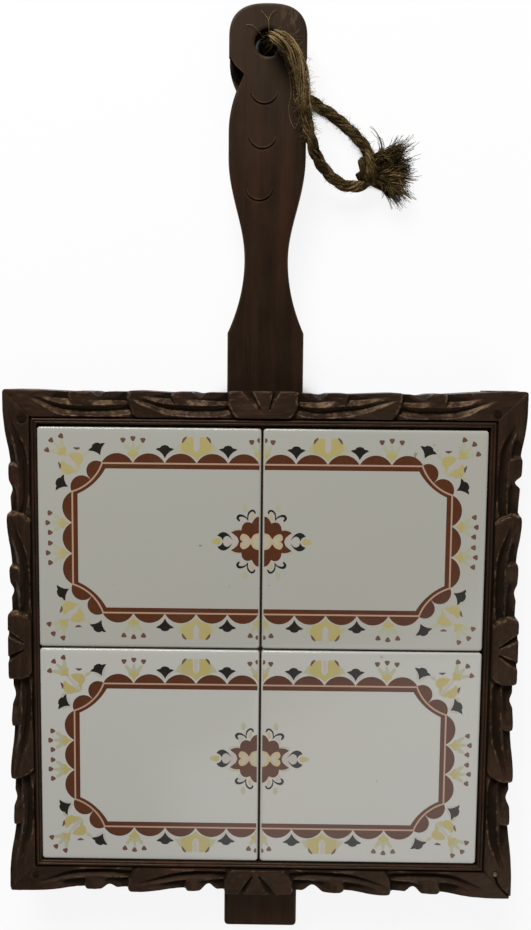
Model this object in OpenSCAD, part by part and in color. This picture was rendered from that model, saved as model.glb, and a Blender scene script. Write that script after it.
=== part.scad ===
// Tiled trivet: four printed tiles in a carved frame, on a board with a long handle and a rope loop.
// The part lies flat on a table. X runs across it, Y along the handle, and Z up.
// The origin is on the table, under the middle of the rigid part's box.

/* [Tiles] */
// Width and length of one square tile
tile_w = 108; // [90:1:150]
// Thickness of a tile
tile_t = 6; // [4:0.5:10]
// Gap between neighbouring tiles
tile_gap = 1; // [0.5:0.25:3]
// Gap between the tiles and the frame, at the left and right
side_gap = 1; // [0.5:0.25:3]
// Gap between the tiles and the frame, towards the handle and the stub
end_gap = 1.5; // [1:0.25:3]
// Distance that the tiles lie nearer the left rail
tile_shift = 0.3; // [0:0.1:0.4]
// Distance that the tiles lie nearer the stub
tile_drop = 0.8; // [0:0.1:0.9]
// Radius of a tile's upright corners
tile_corner_r = 1.5; // [0.5:0.25:4]
// Chamfer round a tile's glazed face
tile_chamfer = 0.6; // [0.2:0.1:1.5]
// Thickness of the adhesive under a tile
bed_t = 0.8; // [0.5:0.1:2]
// Distance that the adhesive stays back from a tile's edge
bed_margin = 7; // [3:1:20]

/* [Frame] */
// Width of a rail, seen from above
rail_w = 15.5; // [13:0.5:24]
// Width of the plain lip next to the tiles
lip_w = 2.6; // [1.5:0.1:4]
// Height of the lip above the tiles
lip_proud = 0.7; // [0.3:0.1:2]
// Width of the quirk between the lip and the carving
quirk_w = 0.8; // [0.4:0.1:1.5]
// Depth of the quirk below the lip
quirk_depth = 1.6; // [0.5:0.1:3]
// Height of the carving above the lip
carve_rise = 1.5; // [0.5:0.1:3]
// Depth that the carving is cut down from its top
carve_depth = 3; // [1:0.1:4]
// Width of the ledge of the rails above the backing panel
rebate_w = 5; // [3:0.5:7]
// Height of the lapped lower half of a corner joint
lap_h = 14; // [8:1:17]

/* [Carving] */
// Length of the middle block on each rail
block_len = 32; // [20:1:50]
// Distance from a rail's middle to the end of its first leaf
leaf_end = 66.5; // [50:0.5:80]
// Step down from the block to the first leaf, and from that to the second
leaf_step = 0.6; // [0.3:0.1:0.8]
// Radius of the scoops in the outer edge of the rails
scoop_r = 4.5; // [2:0.5:7]
// Depth of the scoops into the outer edge
scoop_in = 1.8; // [1:0.1:3]
// Radius of the gouges in a middle block
gouge_r = 1.6; // [0.5:0.1:2]

/* [Backing] */
// Thickness of the backing panel
panel_t = 3; // [2:0.5:6]
// Clearance between the panel and the rails
panel_clear = 0.3; // [0.1:0.1:1]

/* [Handle] */
// Width of the board
board_w = 37; // [30:1:50]
// Thickness of the board
board_t = 11; // [8:0.5:16]
// Clear height under the board
table_gap = 7; // [6.6:0.1:12]
// Clearance between the board and the notches in the rails
board_clear = 0.2; // [0.1:0.05:0.5]
// Distance that the board's middle lies to the right of the frame's middle
board_shift = 0.6; // [0:0.1:3]
// Length of the stub beyond the frame
stub_reach = 24; // [15:1:40]
// Radius of the stub's corners
stub_corner_r = 2; // [1:0.5:5]
// Length of the handle's straight root, from the frame to the shoulders
root_len = 28; // [10:1:60]
// Length from the shoulders to the waist
hollow_len = 35; // [20:1:60]
// Width of the grip at its waist
waist_w = 21; // [16:0.5:26]
// Length from the waist to the grip's widest stretch
swell_len = 48; // [30:1:80]
// Length of the grip's widest stretch
belly_len = 12; // [5:1:40]
// Length from the widest stretch to the neck
taper_len = 20; // [10:1:40]
// Width of the neck between the grip and the head
neck_w = 29; // [24:0.5:32]
// Length from the neck to the straight sides of the head
cheek_len = 14; // [8:1:30]
// Length of the head's straight sides
head_len = 8; // [4:1:30]
// Height of the rounded end of the head
crown_h = 16; // [10:1:20]
// Diameter of the hanging hole
hole_d = 12.5; // [11.5:0.5:14]
// Distance from the end of the head to the middle of the hole
hole_back = 17; // [14:0.5:19]
// Radius of the thumbnail cuts on the grip
thumb_r = 6.4; // [4:0.2:8]
// Depth of the thumbnail cuts
thumb_depth = 1.2; // [0.5:0.1:2]
// Depth of the notches in the face beside the neck
neck_cut_depth = 5; // [2:0.5:8]

/* [Fixings] */
// Diameter of the screws' shanks
screw_d = 3.5; // [2.5:0.5:4.5]
// Length of the screws
screw_len = 17; // [14:1:19]
// Diameter of the screws' heads
screw_head_d = 7; // [5:0.5:8]
// Height of the screws' heads
screw_head_h = 2.2; // [1.5:0.1:3]
// Distance between the two screws in a rail
screw_pitch = 20; // [14:1:26]
// Diameter of the brads
brad_d = 1.2; // [1:0.1:1.6]
// Length of the brads
brad_len = 8; // [6:0.5:8.5]
// Diameter of the brads' heads
brad_head_d = 2.4; // [2:0.1:3.5]
// Height of the brads' heads
brad_head_h = 0.5; // [0.3:0.1:1]
// Diameter of the peg in the top left corner
peg_d_top_left = 4.8; // [3:0.2:5]
// Diameter of the peg in the top right corner
peg_d_top_right = 4; // [3:0.2:5]
// Diameter of the peg in the bottom left corner
peg_d_bottom_left = 3.4; // [3:0.2:5]
// Length of the pegs and of the corner nail
peg_len = 22; // [16:1:24]
// Diameter of the corner nail
nail_d = 1.6; // [1.2:0.1:2.4]
// Diameter of the corner nail's head
nail_head_d = 2.6; // [2.6:0.2:4]

/* [Rope] */
// Diameter of the rope
rope_d = 6; // [5:0.5:6.5]
// Length of the knot
knot_len = 15; // [13:1:18]
// Diameter of the knot
knot_d = 12.5; // [11:0.5:13]
// Height of the frayed end
fray_h = 9; // [6:1:11]
// Length of the frayed end
fray_len = 25; // [15:1:35]
// Width of the frayed end at its tip
fray_w = 20; // [12:1:26]
// Width of the frayed end at the knot
fray_root_w = 9; // [7:1:10]

/* [Hidden] */
$fn = 48;

// Distance that a cut runs past the surface it opens
overrun = 1;
// Steps in a quarter circle of an outline
quarter_steps = 8;
// Steps along a curved stretch of the handle
curve_steps = 14;

// Heights of the layers, from the table up
board_z = table_gap;
panel_z = board_z + board_t;
shoulder_z = panel_z + panel_t;
tile_z = shoulder_z + bed_t;
glaze_z = tile_z + tile_t;
lip_z = glaze_z + lip_proud;
top_z = lip_z + carve_rise;

// Distances of the handle's waist, neck and end from the frame
waist_at = root_len + hollow_len;
neck_at = waist_at + swell_len + belly_len + taper_len;
handle_reach = neck_at + cheek_len + head_len + crown_h;

// Plan sizes
open_x = 2 * tile_w + tile_gap + 2 * side_gap;
open_y = 2 * tile_w + tile_gap + 2 * end_gap;
frame_y = open_y + 2 * rail_w;
frame_cy = (stub_reach - handle_reach) / 2;
frame_edge_y = frame_cy + frame_y / 2;
band_w0 = lip_w + quirk_w;
band_w = rail_w - band_w0;

// The pegs' places: shares of a rail's width past the opening's corner, along and across the rail
peg_top_left_shares = [0.12, 0.41];
peg_top_right_shares = [0.15, 0.38];
peg_bottom_left_shares = [0.17, 0.48];
nail_shares = [0.25, 0.54];
peg_proud = 0.2;
nail_head_h = 0.5;
corner_z = top_z - 2 * leaf_step;
peg_z = corner_z + peg_proud - peg_len;
carve_corner = rail_w / 5;

// The screws' slots, and the room round them in the board
screw_slot_w = 0.9;
screw_slot_depth = 1;
screw_clear = 0.15;
screw_across = (rebate_w + rail_w) / 2;

// The handle's outline
board_half = board_w / 2;
waist_half = waist_w / 2;
neck_half = neck_w / 2;
crown_power = 2.6;
hole_y = frame_edge_y + handle_reach - hole_back;
thumb_shares = [0.78, 0.67, 0.533];
thumb_slip_shares = [-0.065, -0.08, -0.15];
neck_cut_shares = [[1.05, 0.87], [0.967, 0.87], [0.665, 0.43], [0.8, 0], [1.05, 0]];

// The carving of one leaf: shares of the leaf's length and of the carved band's width
vein_shares = [
  [0, 0.30], [0.2, 0.27], [0.4, 0.28], [0.6, 0.34], [0.75, 0.43], [0.88, 0.62],
  [0.88, 0.66], [0.75, 0.58], [0.6, 0.49], [0.4, 0.43], [0.2, 0.43], [0, 0.46]
];
inner_pocket_shares = [[0, 0.70], [0.2, 0.67], [0.34, 0.74], [0.37, 1], [0, 1]];
outer_pocket_shares = [[0.5, 0.62], [0.66, 0.68], [0.76, 0.86], [0.8, 1], [0.5, 1]];
scoop_share = 0.24;
pocket_depth_share = 0.6;
block_side_shares = [[0.78, 0], [0.95, 0.1], [1, 0.26], [1, 1]];
block_gouge_shares = [0.62, 0.16];
leaf_tip_shares = [[0.93, 0], [0.98, 0.14], [1, 0.4], [0.99, 1]];

// Places of the brads along a rail: shares of half the opening
brad_shares = [-0.72, -0.27, 0.27, 0.72];

// The rope's route, in hand-chosen places. Both strands start inside the hole.
front_route = [
  [-1.5, 212.5, 15], [-1.2, 212.3, 18], [-0.1, 211.8, 21], [2.1, 210.8, 24], [5.3, 209.2, 26.1],
  [9, 207, 27], [12.2, 203.8, 26.6], [14.4, 199.6, 25.2], [15.9, 195, 23.6], [17.1, 190, 22.3],
  [18, 185, 21.6], [18.6, 180, 21.4], [19.2, 175, 21.4], [20, 170, 21.3], [21.5, 165.4, 20.2],
  [23, 161.4, 17.8], [25.2, 157.8, 15.2], [28, 154.4, 12.6], [31.4, 151.4, 10.4],
  [35.4, 148.6, 8.8], [39.8, 147.2, 7.8], [44.2, 147.2, 7.2], [48.2, 148.6, 7], [51.2, 151, 6.8]
];
back_route = [
  [-1.5, 212.5, 15], [-1.2, 212.2, 12], [-0.4, 211.2, 8.9], [1.4, 209.1, 5.8], [3.7, 206.4, 4],
  [6.7, 202.8, 3.2], [10, 199.2, 3.1], [13.2, 195.8, 3.1], [16.4, 192.8, 3.1], [19.8, 190, 3.1],
  [23.3, 187.6, 3.1], [27, 185.2, 3.1], [31, 182.8, 3.1], [34.8, 180.1, 3.1], [38.6, 177, 3.1],
  [42.2, 173.7, 3.2], [45.3, 170.5, 3.8], [47.8, 167.3, 4.6], [49.7, 164.1, 5.5], [50.7, 161.2, 6]
];
rope_sides = 8;
// A direction that the rope never runs along, which keeps its rings from turning
rope_side_way = [0.7, 0.7, 0];
knot_place = [51, 156.3, 6.5];
fray_place = [55.1, 156, 0.6];
fray_shares = [[0, -0.5], [0.35, -0.85], [0.7, -1.05], [0.95, -0.9], [1, -0.2], [0.98, 0.5], [0.8, 1],
  [0.45, 0.85], [0, 0.5]];

// Points of a rectangle with rounded corners, about its middle
function round_rect(w, h, r) = [
  for (q = [0:3], i = [0:quarter_steps])
    let (a = 90 * (q + i / quarter_steps),
         sx = (q == 0 || q == 3) ? 1 : -1,
         sy = (q < 2) ? 1 : -1)
    [sx * (w / 2 - r) + r * cos(a), sy * (h / 2 - r) + r * sin(a)]
];

// Smooth step from 0 to 1
function ease(t) = (1 - cos(180 * t)) / 2;

// Height of a shallow arc that drops by 1 as t runs from 0 to 1
function bow(t) = 1 - t * t;

// The right side of the handle, from the frame up: distance along, half width
function handle_side() = concat(
  [for (i = [0:curve_steps]) let (t = 1 - i / curve_steps)
    [waist_at - t * hollow_len, waist_half + (board_half - waist_half) * t * t]],
  [for (i = [1:curve_steps]) let (t = i / curve_steps)
    [waist_at + t * swell_len, waist_half + (board_half - waist_half) * ease(t)]],
  [for (i = [0:curve_steps]) let (t = i / curve_steps)
    [neck_at - (1 - t) * taper_len, neck_half + (board_half - neck_half) * bow(t)]],
  [for (i = [1:curve_steps]) let (t = 1 - i / curve_steps)
    [neck_at + (1 - t) * cheek_len, neck_half + (board_half - neck_half) * bow(t)]],
  [for (i = [0:2 * curve_steps]) let (a = 45 * i / curve_steps)
    [handle_reach - crown_h + crown_h * pow(sin(a), 2 / crown_power),
     board_half * pow(max(cos(a), 0), 2 / crown_power)]]
);

// The whole outline of the board, in the part's place
function board_outline() =
  let (side = handle_side(),
       n = len(side),
       y0 = frame_edge_y - frame_y - stub_reach,
       r = stub_corner_r)
  concat(
    [for (i = [0:quarter_steps]) let (a = 90 * i / quarter_steps - 90)
      [board_half - r + r * cos(a), y0 + r + r * sin(a)]],
    [for (i = [0:n - 1]) [side[i][1], frame_edge_y + side[i][0]]],
    [for (i = [2:n]) [-side[n - i][1], frame_edge_y + side[n - i][0]]],
    [for (i = [0:quarter_steps]) let (a = 90 * i / quarter_steps + 180)
      [-board_half + r + r * cos(a), y0 + r + r * sin(a)]]
  );

function unit(v) = v / norm(v);

// The way that the rope runs at a point of its route
function way(route, i) =
  unit(route[min(i + 1, len(route) - 1)] - route[max(i - 1, 0)]);

// Points of one ring round the rope
function ring(route, i) =
  let (t = (i == 0) ? [0, 0, sign(route[1][2] - route[0][2])] : way(route, i),
       u = unit(cross(t, rope_side_way)),
       v = cross(u, t))
  [for (k = [0:rope_sides - 1]) let (a = 360 * (k + 0.5) / rope_sides)
    route[i] + rope_d / 2 * (cos(a) * u + sin(a) * v)];

// One strand of the rope as a closed tube
module strand(route) {
  n = len(route);
  points = [for (i = [0:n - 1]) each ring(route, i)];
  walls = [for (i = [0:n - 2], k = [0:rope_sides - 1])
    let (a = i * rope_sides + k,
         b = i * rope_sides + (k + 1) % rope_sides)
    each [[a, b, b + rope_sides], [a, b + rope_sides, a + rope_sides]]];
  start = [[for (k = [0:rope_sides - 1]) rope_sides - 1 - k]];
  finish = [[for (k = [0:rope_sides - 1]) (n - 1) * rope_sides + k]];
  polyhedron(points = points, faces = concat(walls, start, finish), convexity = 6);
}

// A flat shape given as shares of a leaf, cut down by a depth from the top of the carving
module leaf_cut(start, finish, shares, depth) {
  translate([0, 0, top_z - depth])
    linear_extrude(height = depth + overrun)
      polygon([for (p = shares)
        [start + p[0] * (finish - start), band_w0 + p[1] * band_w + (p[1] >= 1 ? overrun : 0)]]);
}

// The vein, the two pockets and the scoop of one leaf
module leaf_cuts(start, finish) {
  pocket_depth = carve_depth * pocket_depth_share;
  leaf_cut(start, finish, vein_shares, carve_depth);
  leaf_cut(start, finish, inner_pocket_shares, pocket_depth);
  leaf_cut(start, finish, outer_pocket_shares, pocket_depth);
  translate([start + scoop_share * (finish - start), rail_w + scoop_r - scoop_in, top_z - 2 * carve_depth])
    cylinder(r = scoop_r, h = 2 * carve_depth + overrun);
}

// The steps down from the block to the first leaf, and from its tip to the second leaf
module leaf_steps(corner) {
  far = [[corner + 2 * rail_w, rail_w + overrun], [corner + 2 * rail_w, band_w0]];
  translate([0, 0, top_z - leaf_step])
    linear_extrude(height = leaf_step + overrun)
      polygon(concat([for (p = block_side_shares)
        [p[0] * block_len / 2, band_w0 + p[1] * band_w + (p[1] >= 1 ? overrun : 0)]], far));
  translate([0, 0, top_z - 2 * leaf_step])
    linear_extrude(height = 2 * leaf_step + overrun)
      polygon(concat([for (p = leaf_tip_shares)
        [p[0] * leaf_end, band_w0 + p[1] * band_w + (p[1] >= 1 ? overrun : 0)]], far));
}

// The middle block's two gouges, which fan out to the outer edge
module block_gouges() {
  for (side = [-1, 1]) {
    outer = [side * block_gouge_shares[0] * block_len / 2, rail_w + overrun];
    inner = [side * block_gouge_shares[1] * block_len / 2, band_w0 + band_w / 4];
    run = outer - inner;
    translate([inner[0], inner[1], top_z + gouge_r / 3])
      rotate([0, 0, atan2(run[1], run[0])])
        rotate([0, 90, 0])
          cylinder(r = gouge_r, h = norm(run));
  }
}

// All that is carved away from the top of one rail
module carving(half_open) {
  corner = half_open + carve_corner;
  for (side = [0, 1])
    mirror([side, 0, 0]) {
      leaf_cuts(block_len / 2, leaf_end);
      leaf_cuts(leaf_end, corner);
      leaf_steps(corner);
    }
  block_gouges();
}

// One rail, lying along X with the opening's edge on the X axis. Its left end is lapped square under
// the neighbour, and its right end lies over the other neighbour. Both show as a mitre from above.
module rail(half_open, own_peg_d, own_shares, next_peg_d, next_shares) {
  end = half_open + rail_w;
  section = [
    [0, lap_h], [0, lip_z], [lip_w, lip_z], [lip_w, lip_z - quirk_depth],
    [band_w0, lip_z - quirk_depth], [band_w0, top_z], [rail_w, top_z], [rail_w, lap_h]
  ];
  difference() {
    union() {
      intersection() {
        translate([-end, 0, 0])
          rotate([90, 0, 90])
            linear_extrude(height = 2 * end)
              polygon(section);
        linear_extrude(height = 2 * top_z)
          polygon([[-half_open, 0], [half_open, 0], [end, rail_w], [-end, rail_w]]);
      }
      translate([-end, 0, 0])
        cube([end + half_open, rail_w, lap_h]);
    }
    translate([-half_open, -overrun, -overrun])
      cube([2 * half_open, rebate_w + overrun, shoulder_z + overrun]);
    carving(half_open);
    for (share = brad_shares)
      translate([share * half_open, rebate_w / 2, 0])
        cylinder(d = brad_d, h = panel_z + brad_len);
    translate([half_open + own_shares[0] * rail_w, own_shares[1] * rail_w, peg_z])
      cylinder(d = own_peg_d, h = top_z);
    translate([-half_open - next_shares[1] * rail_w, next_shares[0] * rail_w, peg_z])
      cylinder(d = next_peg_d, h = top_z);
  }
}

// Puts a rail on its side of the opening: turn is 0 for the top rail, and goes round clockwise
module on_side(turn) {
  translate([0, frame_cy, 0])
    rotate([0, 0, -turn])
      translate([0, (turn % 180 == 0) ? open_y / 2 : open_x / 2, 0])
        children();
}

// Places of the two screws in the top or the bottom rail, which hold the board
module at_screws(side) {
  for (k = [-1, 1])
    translate([board_shift + k * screw_pitch / 2, frame_cy + side * (open_y / 2 + screw_across), 0])
      children();
}

// What the board and its screws take out of the top or the bottom rail
module board_seat(side) {
  seat_w = board_w + 2 * board_clear;
  translate([board_shift - seat_w / 2, frame_cy + side * open_y / 2, 0])
    translate([0, side > 0 ? -overrun : -rail_w - overrun, -overrun])
      cube([seat_w, rail_w + 2 * overrun, panel_z + overrun]);
  at_screws(side)
    cylinder(d = screw_d, h = board_z + screw_len);
}

module rail_top() {
  color("#4a3527")
    difference() {
      on_side(0)
        rail(open_x / 2, peg_d_top_right, peg_top_right_shares, peg_d_top_left, peg_top_left_shares);
      board_seat(1);
    }
}

module rail_right() {
  color("#4d3829")
    on_side(90)
      rail(open_y / 2, nail_d, nail_shares, peg_d_top_right, peg_top_right_shares);
}

module rail_bottom() {
  color("#463224")
    difference() {
      on_side(180)
        rail(open_x / 2, peg_d_bottom_left, peg_bottom_left_shares, nail_d, nail_shares);
      board_seat(-1);
    }
}

module rail_left() {
  color("#493426")
    on_side(270)
      rail(open_y / 2, peg_d_top_left, peg_top_left_shares, peg_d_bottom_left, peg_bottom_left_shares);
}

// A peg with a chamfered tip
module peg(d) {
  top = corner_z + peg_proud;
  translate([0, 0, top - peg_len + d / 4])
    cylinder(d = d, h = peg_len - d / 4);
  translate([0, 0, top - peg_len])
    cylinder(d1 = d / 2, d2 = d, h = d / 4);
}

// Puts a peg in a corner: turn is that of the rail that it is driven through
module at_corner(turn, shares) {
  half_open = (turn % 180 == 0) ? open_x / 2 : open_y / 2;
  on_side(turn)
    translate([half_open + shares[0] * rail_w, shares[1] * rail_w, 0])
      children();
}

module peg_top_left() {
  color("#6b4a33")
    at_corner(270, peg_top_left_shares)
      peg(peg_d_top_left);
}

module peg_top_right() {
  color("#5b4030")
    at_corner(0, peg_top_right_shares)
      peg(peg_d_top_right);
}

module peg_bottom_left() {
  color("#5a3d2b")
    at_corner(180, peg_bottom_left_shares)
      peg(peg_d_bottom_left);
}

module nail_bottom_right() {
  color("#b9ab98")
    at_corner(90, nail_shares) {
      translate([0, 0, corner_z])
        cylinder(d = nail_head_d, h = nail_head_h);
      translate([0, 0, corner_z + peg_proud - peg_len + nail_d])
        cylinder(d = nail_d, h = peg_len - peg_proud - nail_d);
      translate([0, 0, corner_z + peg_proud - peg_len])
        cylinder(d1 = nail_d / 4, d2 = nail_d, h = nail_d);
    }
}

// Puts something under a tile: column and row are -1 or 1
module at_tile(column, row) {
  pitch = tile_w + tile_gap;
  translate([column * pitch / 2 - tile_shift, frame_cy + row * pitch / 2 - tile_drop, 0])
    children();
}

// A tile with rounded upright corners and a chamfer round its face
module tile() {
  translate([0, 0, tile_z])
    difference() {
      linear_extrude(height = tile_t)
        polygon(round_rect(tile_w, tile_w, tile_corner_r));
      for (turn = [0:90:270])
        rotate([0, 0, turn])
          translate([tile_w / 2 - tile_chamfer, 0, tile_t])
            rotate([0, 45, 0])
              translate([0, -tile_w, 0])
                cube([2 * tile_chamfer, 2 * tile_w, 2 * tile_chamfer]);
    }
}

// The adhesive under a tile
module bed() {
  side = tile_w - 2 * bed_margin;
  translate([0, 0, shoulder_z])
    linear_extrude(height = bed_t)
      polygon(round_rect(side, side, bed_margin));
}

module tile_upper_left() {
  color("#d9d8cb")
    at_tile(-1, 1)
      tile();
}

module tile_upper_right() {
  color("#d9d8cb")
    at_tile(1, 1)
      tile();
}

module tile_lower_left() {
  color("#d6d5c8")
    at_tile(-1, -1)
      tile();
}

module tile_lower_right() {
  color("#d6d5c8")
    at_tile(1, -1)
      tile();
}

module bed_upper_left() {
  color("#b8b0a0")
    at_tile(-1, 1)
      bed();
}

module bed_upper_right() {
  color("#b8b0a0")
    at_tile(1, 1)
      bed();
}

module bed_lower_left() {
  color("#b8b0a0")
    at_tile(-1, -1)
      bed();
}

module bed_lower_right() {
  color("#b8b0a0")
    at_tile(1, -1)
      bed();
}

// Places of the brads, round all four sides
module at_brads() {
  for (turn = [0:90:270], share = brad_shares)
    on_side(turn)
      translate([share * ((turn % 180 == 0) ? open_x : open_y) / 2, rebate_w / 2, 0])
        children();
}

// The panel in the rebate, with its corners notched round the corner joints
module backing_panel() {
  grow = 2 * (rebate_w - panel_clear);
  color("#8a6a4a")
    difference() {
      translate([0, frame_cy, panel_z])
        linear_extrude(height = panel_t)
          union() {
            square([open_x + grow, open_y - 2 * panel_clear], center = true);
            square([open_x - 2 * panel_clear, open_y + grow], center = true);
          }
      at_brads()
        cylinder(d = brad_d, h = top_z);
    }
}

module panel_brads() {
  color("#8f8a80")
    at_brads() {
      translate([0, 0, panel_z - brad_head_h])
        cylinder(d = brad_head_d, h = brad_head_h);
      translate([0, 0, panel_z])
        cylinder(d = brad_d, h = brad_len - brad_d);
      translate([0, 0, panel_z + brad_len - brad_d])
        cylinder(d1 = brad_d, d2 = brad_d / 3, h = brad_d);
    }
}

// The cuts on the board's face: three thumbnail cuts and the notches beside the neck
module face_cuts() {
  for (k = [0:len(thumb_shares) - 1])
    translate([board_shift + thumb_slip_shares[k] * board_half,
               frame_edge_y + thumb_shares[k] * handle_reach, panel_z])
      rotate([atan(thumb_depth / thumb_r), 0, 0])
        cylinder(r = thumb_r, h = 2 * thumb_depth);
  for (side = [0, 1])
    translate([board_shift, frame_edge_y + neck_at, panel_z - neck_cut_depth])
      mirror([side, 0, 0])
        linear_extrude(height = neck_cut_depth + overrun)
          polygon([for (p = neck_cut_shares) [p[0] * board_half, p[1] * cheek_len]]);
}

module handle_board() {
  color("#432e25")
    difference() {
      translate([board_shift, 0, board_z])
        linear_extrude(height = board_t)
          polygon(board_outline());
      translate([board_shift, hole_y, board_z - overrun])
        cylinder(d = hole_d, h = board_t + 2 * overrun);
      face_cuts();
      for (side = [-1, 1])
        at_screws(side) {
          cylinder(d = screw_d + 2 * screw_clear, h = panel_z + overrun);
          translate([0, 0, board_z - overrun])
            cylinder(d = screw_head_d + 2 * screw_clear, h = overrun);
          translate([0, 0, board_z])
            cylinder(d1 = screw_head_d + 2 * screw_clear, d2 = screw_d + 2 * screw_clear, h = screw_head_h);
        }
    }
}

// A countersunk screw, driven up from below
module screw() {
  difference() {
    union() {
      translate([0, 0, board_z])
        cylinder(d1 = screw_head_d, d2 = screw_d, h = screw_head_h);
      translate([0, 0, board_z + screw_head_h])
        cylinder(d = screw_d, h = screw_len - screw_head_h - screw_d);
      translate([0, 0, board_z + screw_len - screw_d])
        cylinder(d1 = screw_d, d2 = screw_d / 4, h = screw_d);
    }
    translate([-screw_head_d, -screw_slot_w / 2, board_z - overrun])
      cube([2 * screw_head_d, screw_slot_w, overrun + screw_slot_depth]);
  }
}

module board_screws() {
  color("#a9a49a")
    for (side = [-1, 1])
      at_screws(side)
        screw();
}

module rope_front_strand() {
  color("#7d6b45")
    strand(front_route);
}

module rope_back_strand() {
  color("#77653f")
    strand(back_route);
}

// The knot as an egg, lying along Y
module knot_egg() {
  translate(knot_place)
    rotate([90, 0, 0])
      rotate_extrude()
        polygon([for (i = [-quarter_steps:quarter_steps]) let (a = 90 * i / quarter_steps)
          [knot_d / 2 * cos(a), knot_len / 2 * sin(a)]]);
}

module rope_knot() {
  color("#7f6c46")
    knot_egg();
}

module rope_frayed_end() {
  color("#6e5d3b")
    difference() {
      translate(fray_place)
        linear_extrude(height = fray_h)
          polygon([for (p = fray_shares)
            [p[0] * fray_len, p[1] * (fray_root_w + p[0] * (fray_w - fray_root_w)) / 2]]);
      knot_egg();
    }
}

rail_top();
rail_bottom();
rail_left();
rail_right();
tile_upper_left();
tile_upper_right();
tile_lower_left();
tile_lower_right();
bed_upper_left();
bed_upper_right();
bed_lower_left();
bed_lower_right();
backing_panel();
handle_board();
board_screws();
panel_brads();
peg_top_left();
peg_top_right();
peg_bottom_left();
nail_bottom_right();
rope_front_strand();
rope_back_strand();
rope_knot();
rope_frayed_end();
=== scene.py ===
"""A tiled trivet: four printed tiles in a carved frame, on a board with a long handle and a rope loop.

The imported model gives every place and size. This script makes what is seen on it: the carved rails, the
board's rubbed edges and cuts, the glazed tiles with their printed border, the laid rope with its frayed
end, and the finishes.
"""

import logging
import math
from contextlib import contextmanager
from dataclasses import dataclass, field
from enum import Enum
from typing import Iterator, Sequence

import bpy
import numpy as np
from mathutils import Matrix, Vector
from mathutils.geometry import tessellate_polygon


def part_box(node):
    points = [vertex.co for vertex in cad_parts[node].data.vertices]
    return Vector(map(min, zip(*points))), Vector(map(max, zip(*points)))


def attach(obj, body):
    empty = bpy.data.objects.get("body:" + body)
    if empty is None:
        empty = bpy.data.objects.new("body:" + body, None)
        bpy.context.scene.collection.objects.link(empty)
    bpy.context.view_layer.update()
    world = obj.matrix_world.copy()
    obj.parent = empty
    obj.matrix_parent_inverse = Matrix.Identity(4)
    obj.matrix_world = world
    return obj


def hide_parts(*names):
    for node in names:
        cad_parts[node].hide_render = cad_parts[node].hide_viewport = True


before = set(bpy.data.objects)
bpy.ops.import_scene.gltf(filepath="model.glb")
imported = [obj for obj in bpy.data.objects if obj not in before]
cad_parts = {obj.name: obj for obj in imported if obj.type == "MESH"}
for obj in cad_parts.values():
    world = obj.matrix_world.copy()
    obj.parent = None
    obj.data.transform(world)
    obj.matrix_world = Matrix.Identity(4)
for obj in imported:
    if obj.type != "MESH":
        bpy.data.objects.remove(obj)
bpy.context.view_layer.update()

MM = 0.001
LOG = logging.getLogger("trivet")

Array = np.ndarray
Material = bpy.types.Material
Piece = bpy.types.Object
Point2 = tuple[float, float]
Point3 = tuple[float, float, float]
Colour = tuple[float, float, float, float]


class Body(Enum):
    """The bodies that pieces ride on."""

    TRIVET = "trivet"
    ROPE = "rope_loop"


class Slot(Enum):
    """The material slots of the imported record."""

    CARVED = "carved_wood"
    BOARD = "board_wood"
    PANEL = "panel_wood"
    PEG = "peg_wood"
    TILE = "printed_tile"
    ADHESIVE = "adhesive"
    SCREW = "screw_steel"
    BRAD = "brad_steel"
    NAIL = "nail_metal"
    ROPE = "rope_fibre"


class Side(Enum):
    """A side of the frame, with the clockwise turn from the top rail in degrees."""

    TOP = 0
    RIGHT = 90
    BOTTOM = 180
    LEFT = 270


class Ink(Enum):
    """The colours that the tiles are printed in, in the order that they lie on each other."""

    HAZE = 0
    PALE = 1
    CREAM = 2
    YELLOW = 3
    BROWN = 4
    WHITE = 5
    BUD = 6
    LINE = 7
    BLACK = 8


def srgb(red: float, green: float, blue: float) -> Colour:
    """The linear colour that shaders take for a colour on screen.

    Args:
        red, green, blue: its channels, 0 to 255.

    Returns:
        The colour, with an alpha of 1.
    """
    def linear(value: float) -> float:
        """One channel as a linear share."""
        share = value / 255
        return share / 12.92 if share <= 0.04045 else ((share + 0.055) / 1.055) ** 2.4
    return linear(red), linear(green), linear(blue), 1.0


def cad_mm(node: str) -> tuple[Array, Array]:
    """The lowest and highest corners of a CAD node, in millimetres."""
    low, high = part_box(node)
    return np.array(low) / MM, np.array(high) / MM


class Noise:
    """Smooth seeded noise over a plane, between -1 and 1."""

    def __init__(self, seed: int) -> None:
        """Draws the table that the noise reads."""
        self.table = np.random.default_rng(seed).uniform(-1, 1, (256, 256))

    def at(self, x: Array, y: Array, cell_x: float, cell_y: float) -> Array:
        """Noise at places.

        Args:
            x, y: the places.
            cell_x, cell_y: the distance between free values along each axis.

        Returns:
            One value per place.
        """
        gx, gy = np.broadcast_arrays(np.asarray(x) / cell_x + 97.3, np.asarray(y) / cell_y + 61.7)
        ix, iy = np.floor(gx).astype(int), np.floor(gy).astype(int)
        fx, fy = gx - ix, gy - iy
        fx, fy = fx * fx * (3 - 2 * fx), fy * fy * (3 - 2 * fy)
        t = self.table
        low = t[ix % 256, iy % 256] * (1 - fx) + t[(ix + 1) % 256, iy % 256] * fx
        high = t[ix % 256, (iy + 1) % 256] * (1 - fx) + t[(ix + 1) % 256, (iy + 1) % 256] * fx
        return low * (1 - fy) + high * fy


def smooth(value: Array, start: float, end: float) -> Array:
    """A smooth step from 0 at start to 1 at end."""
    t = np.clip((value - start) / (end - start), 0, 1)
    return t * t * (3 - 2 * t)


def deselect() -> None:
    """Deselects every object."""
    bpy.ops.object.select_all(action="DESELECT")


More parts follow.
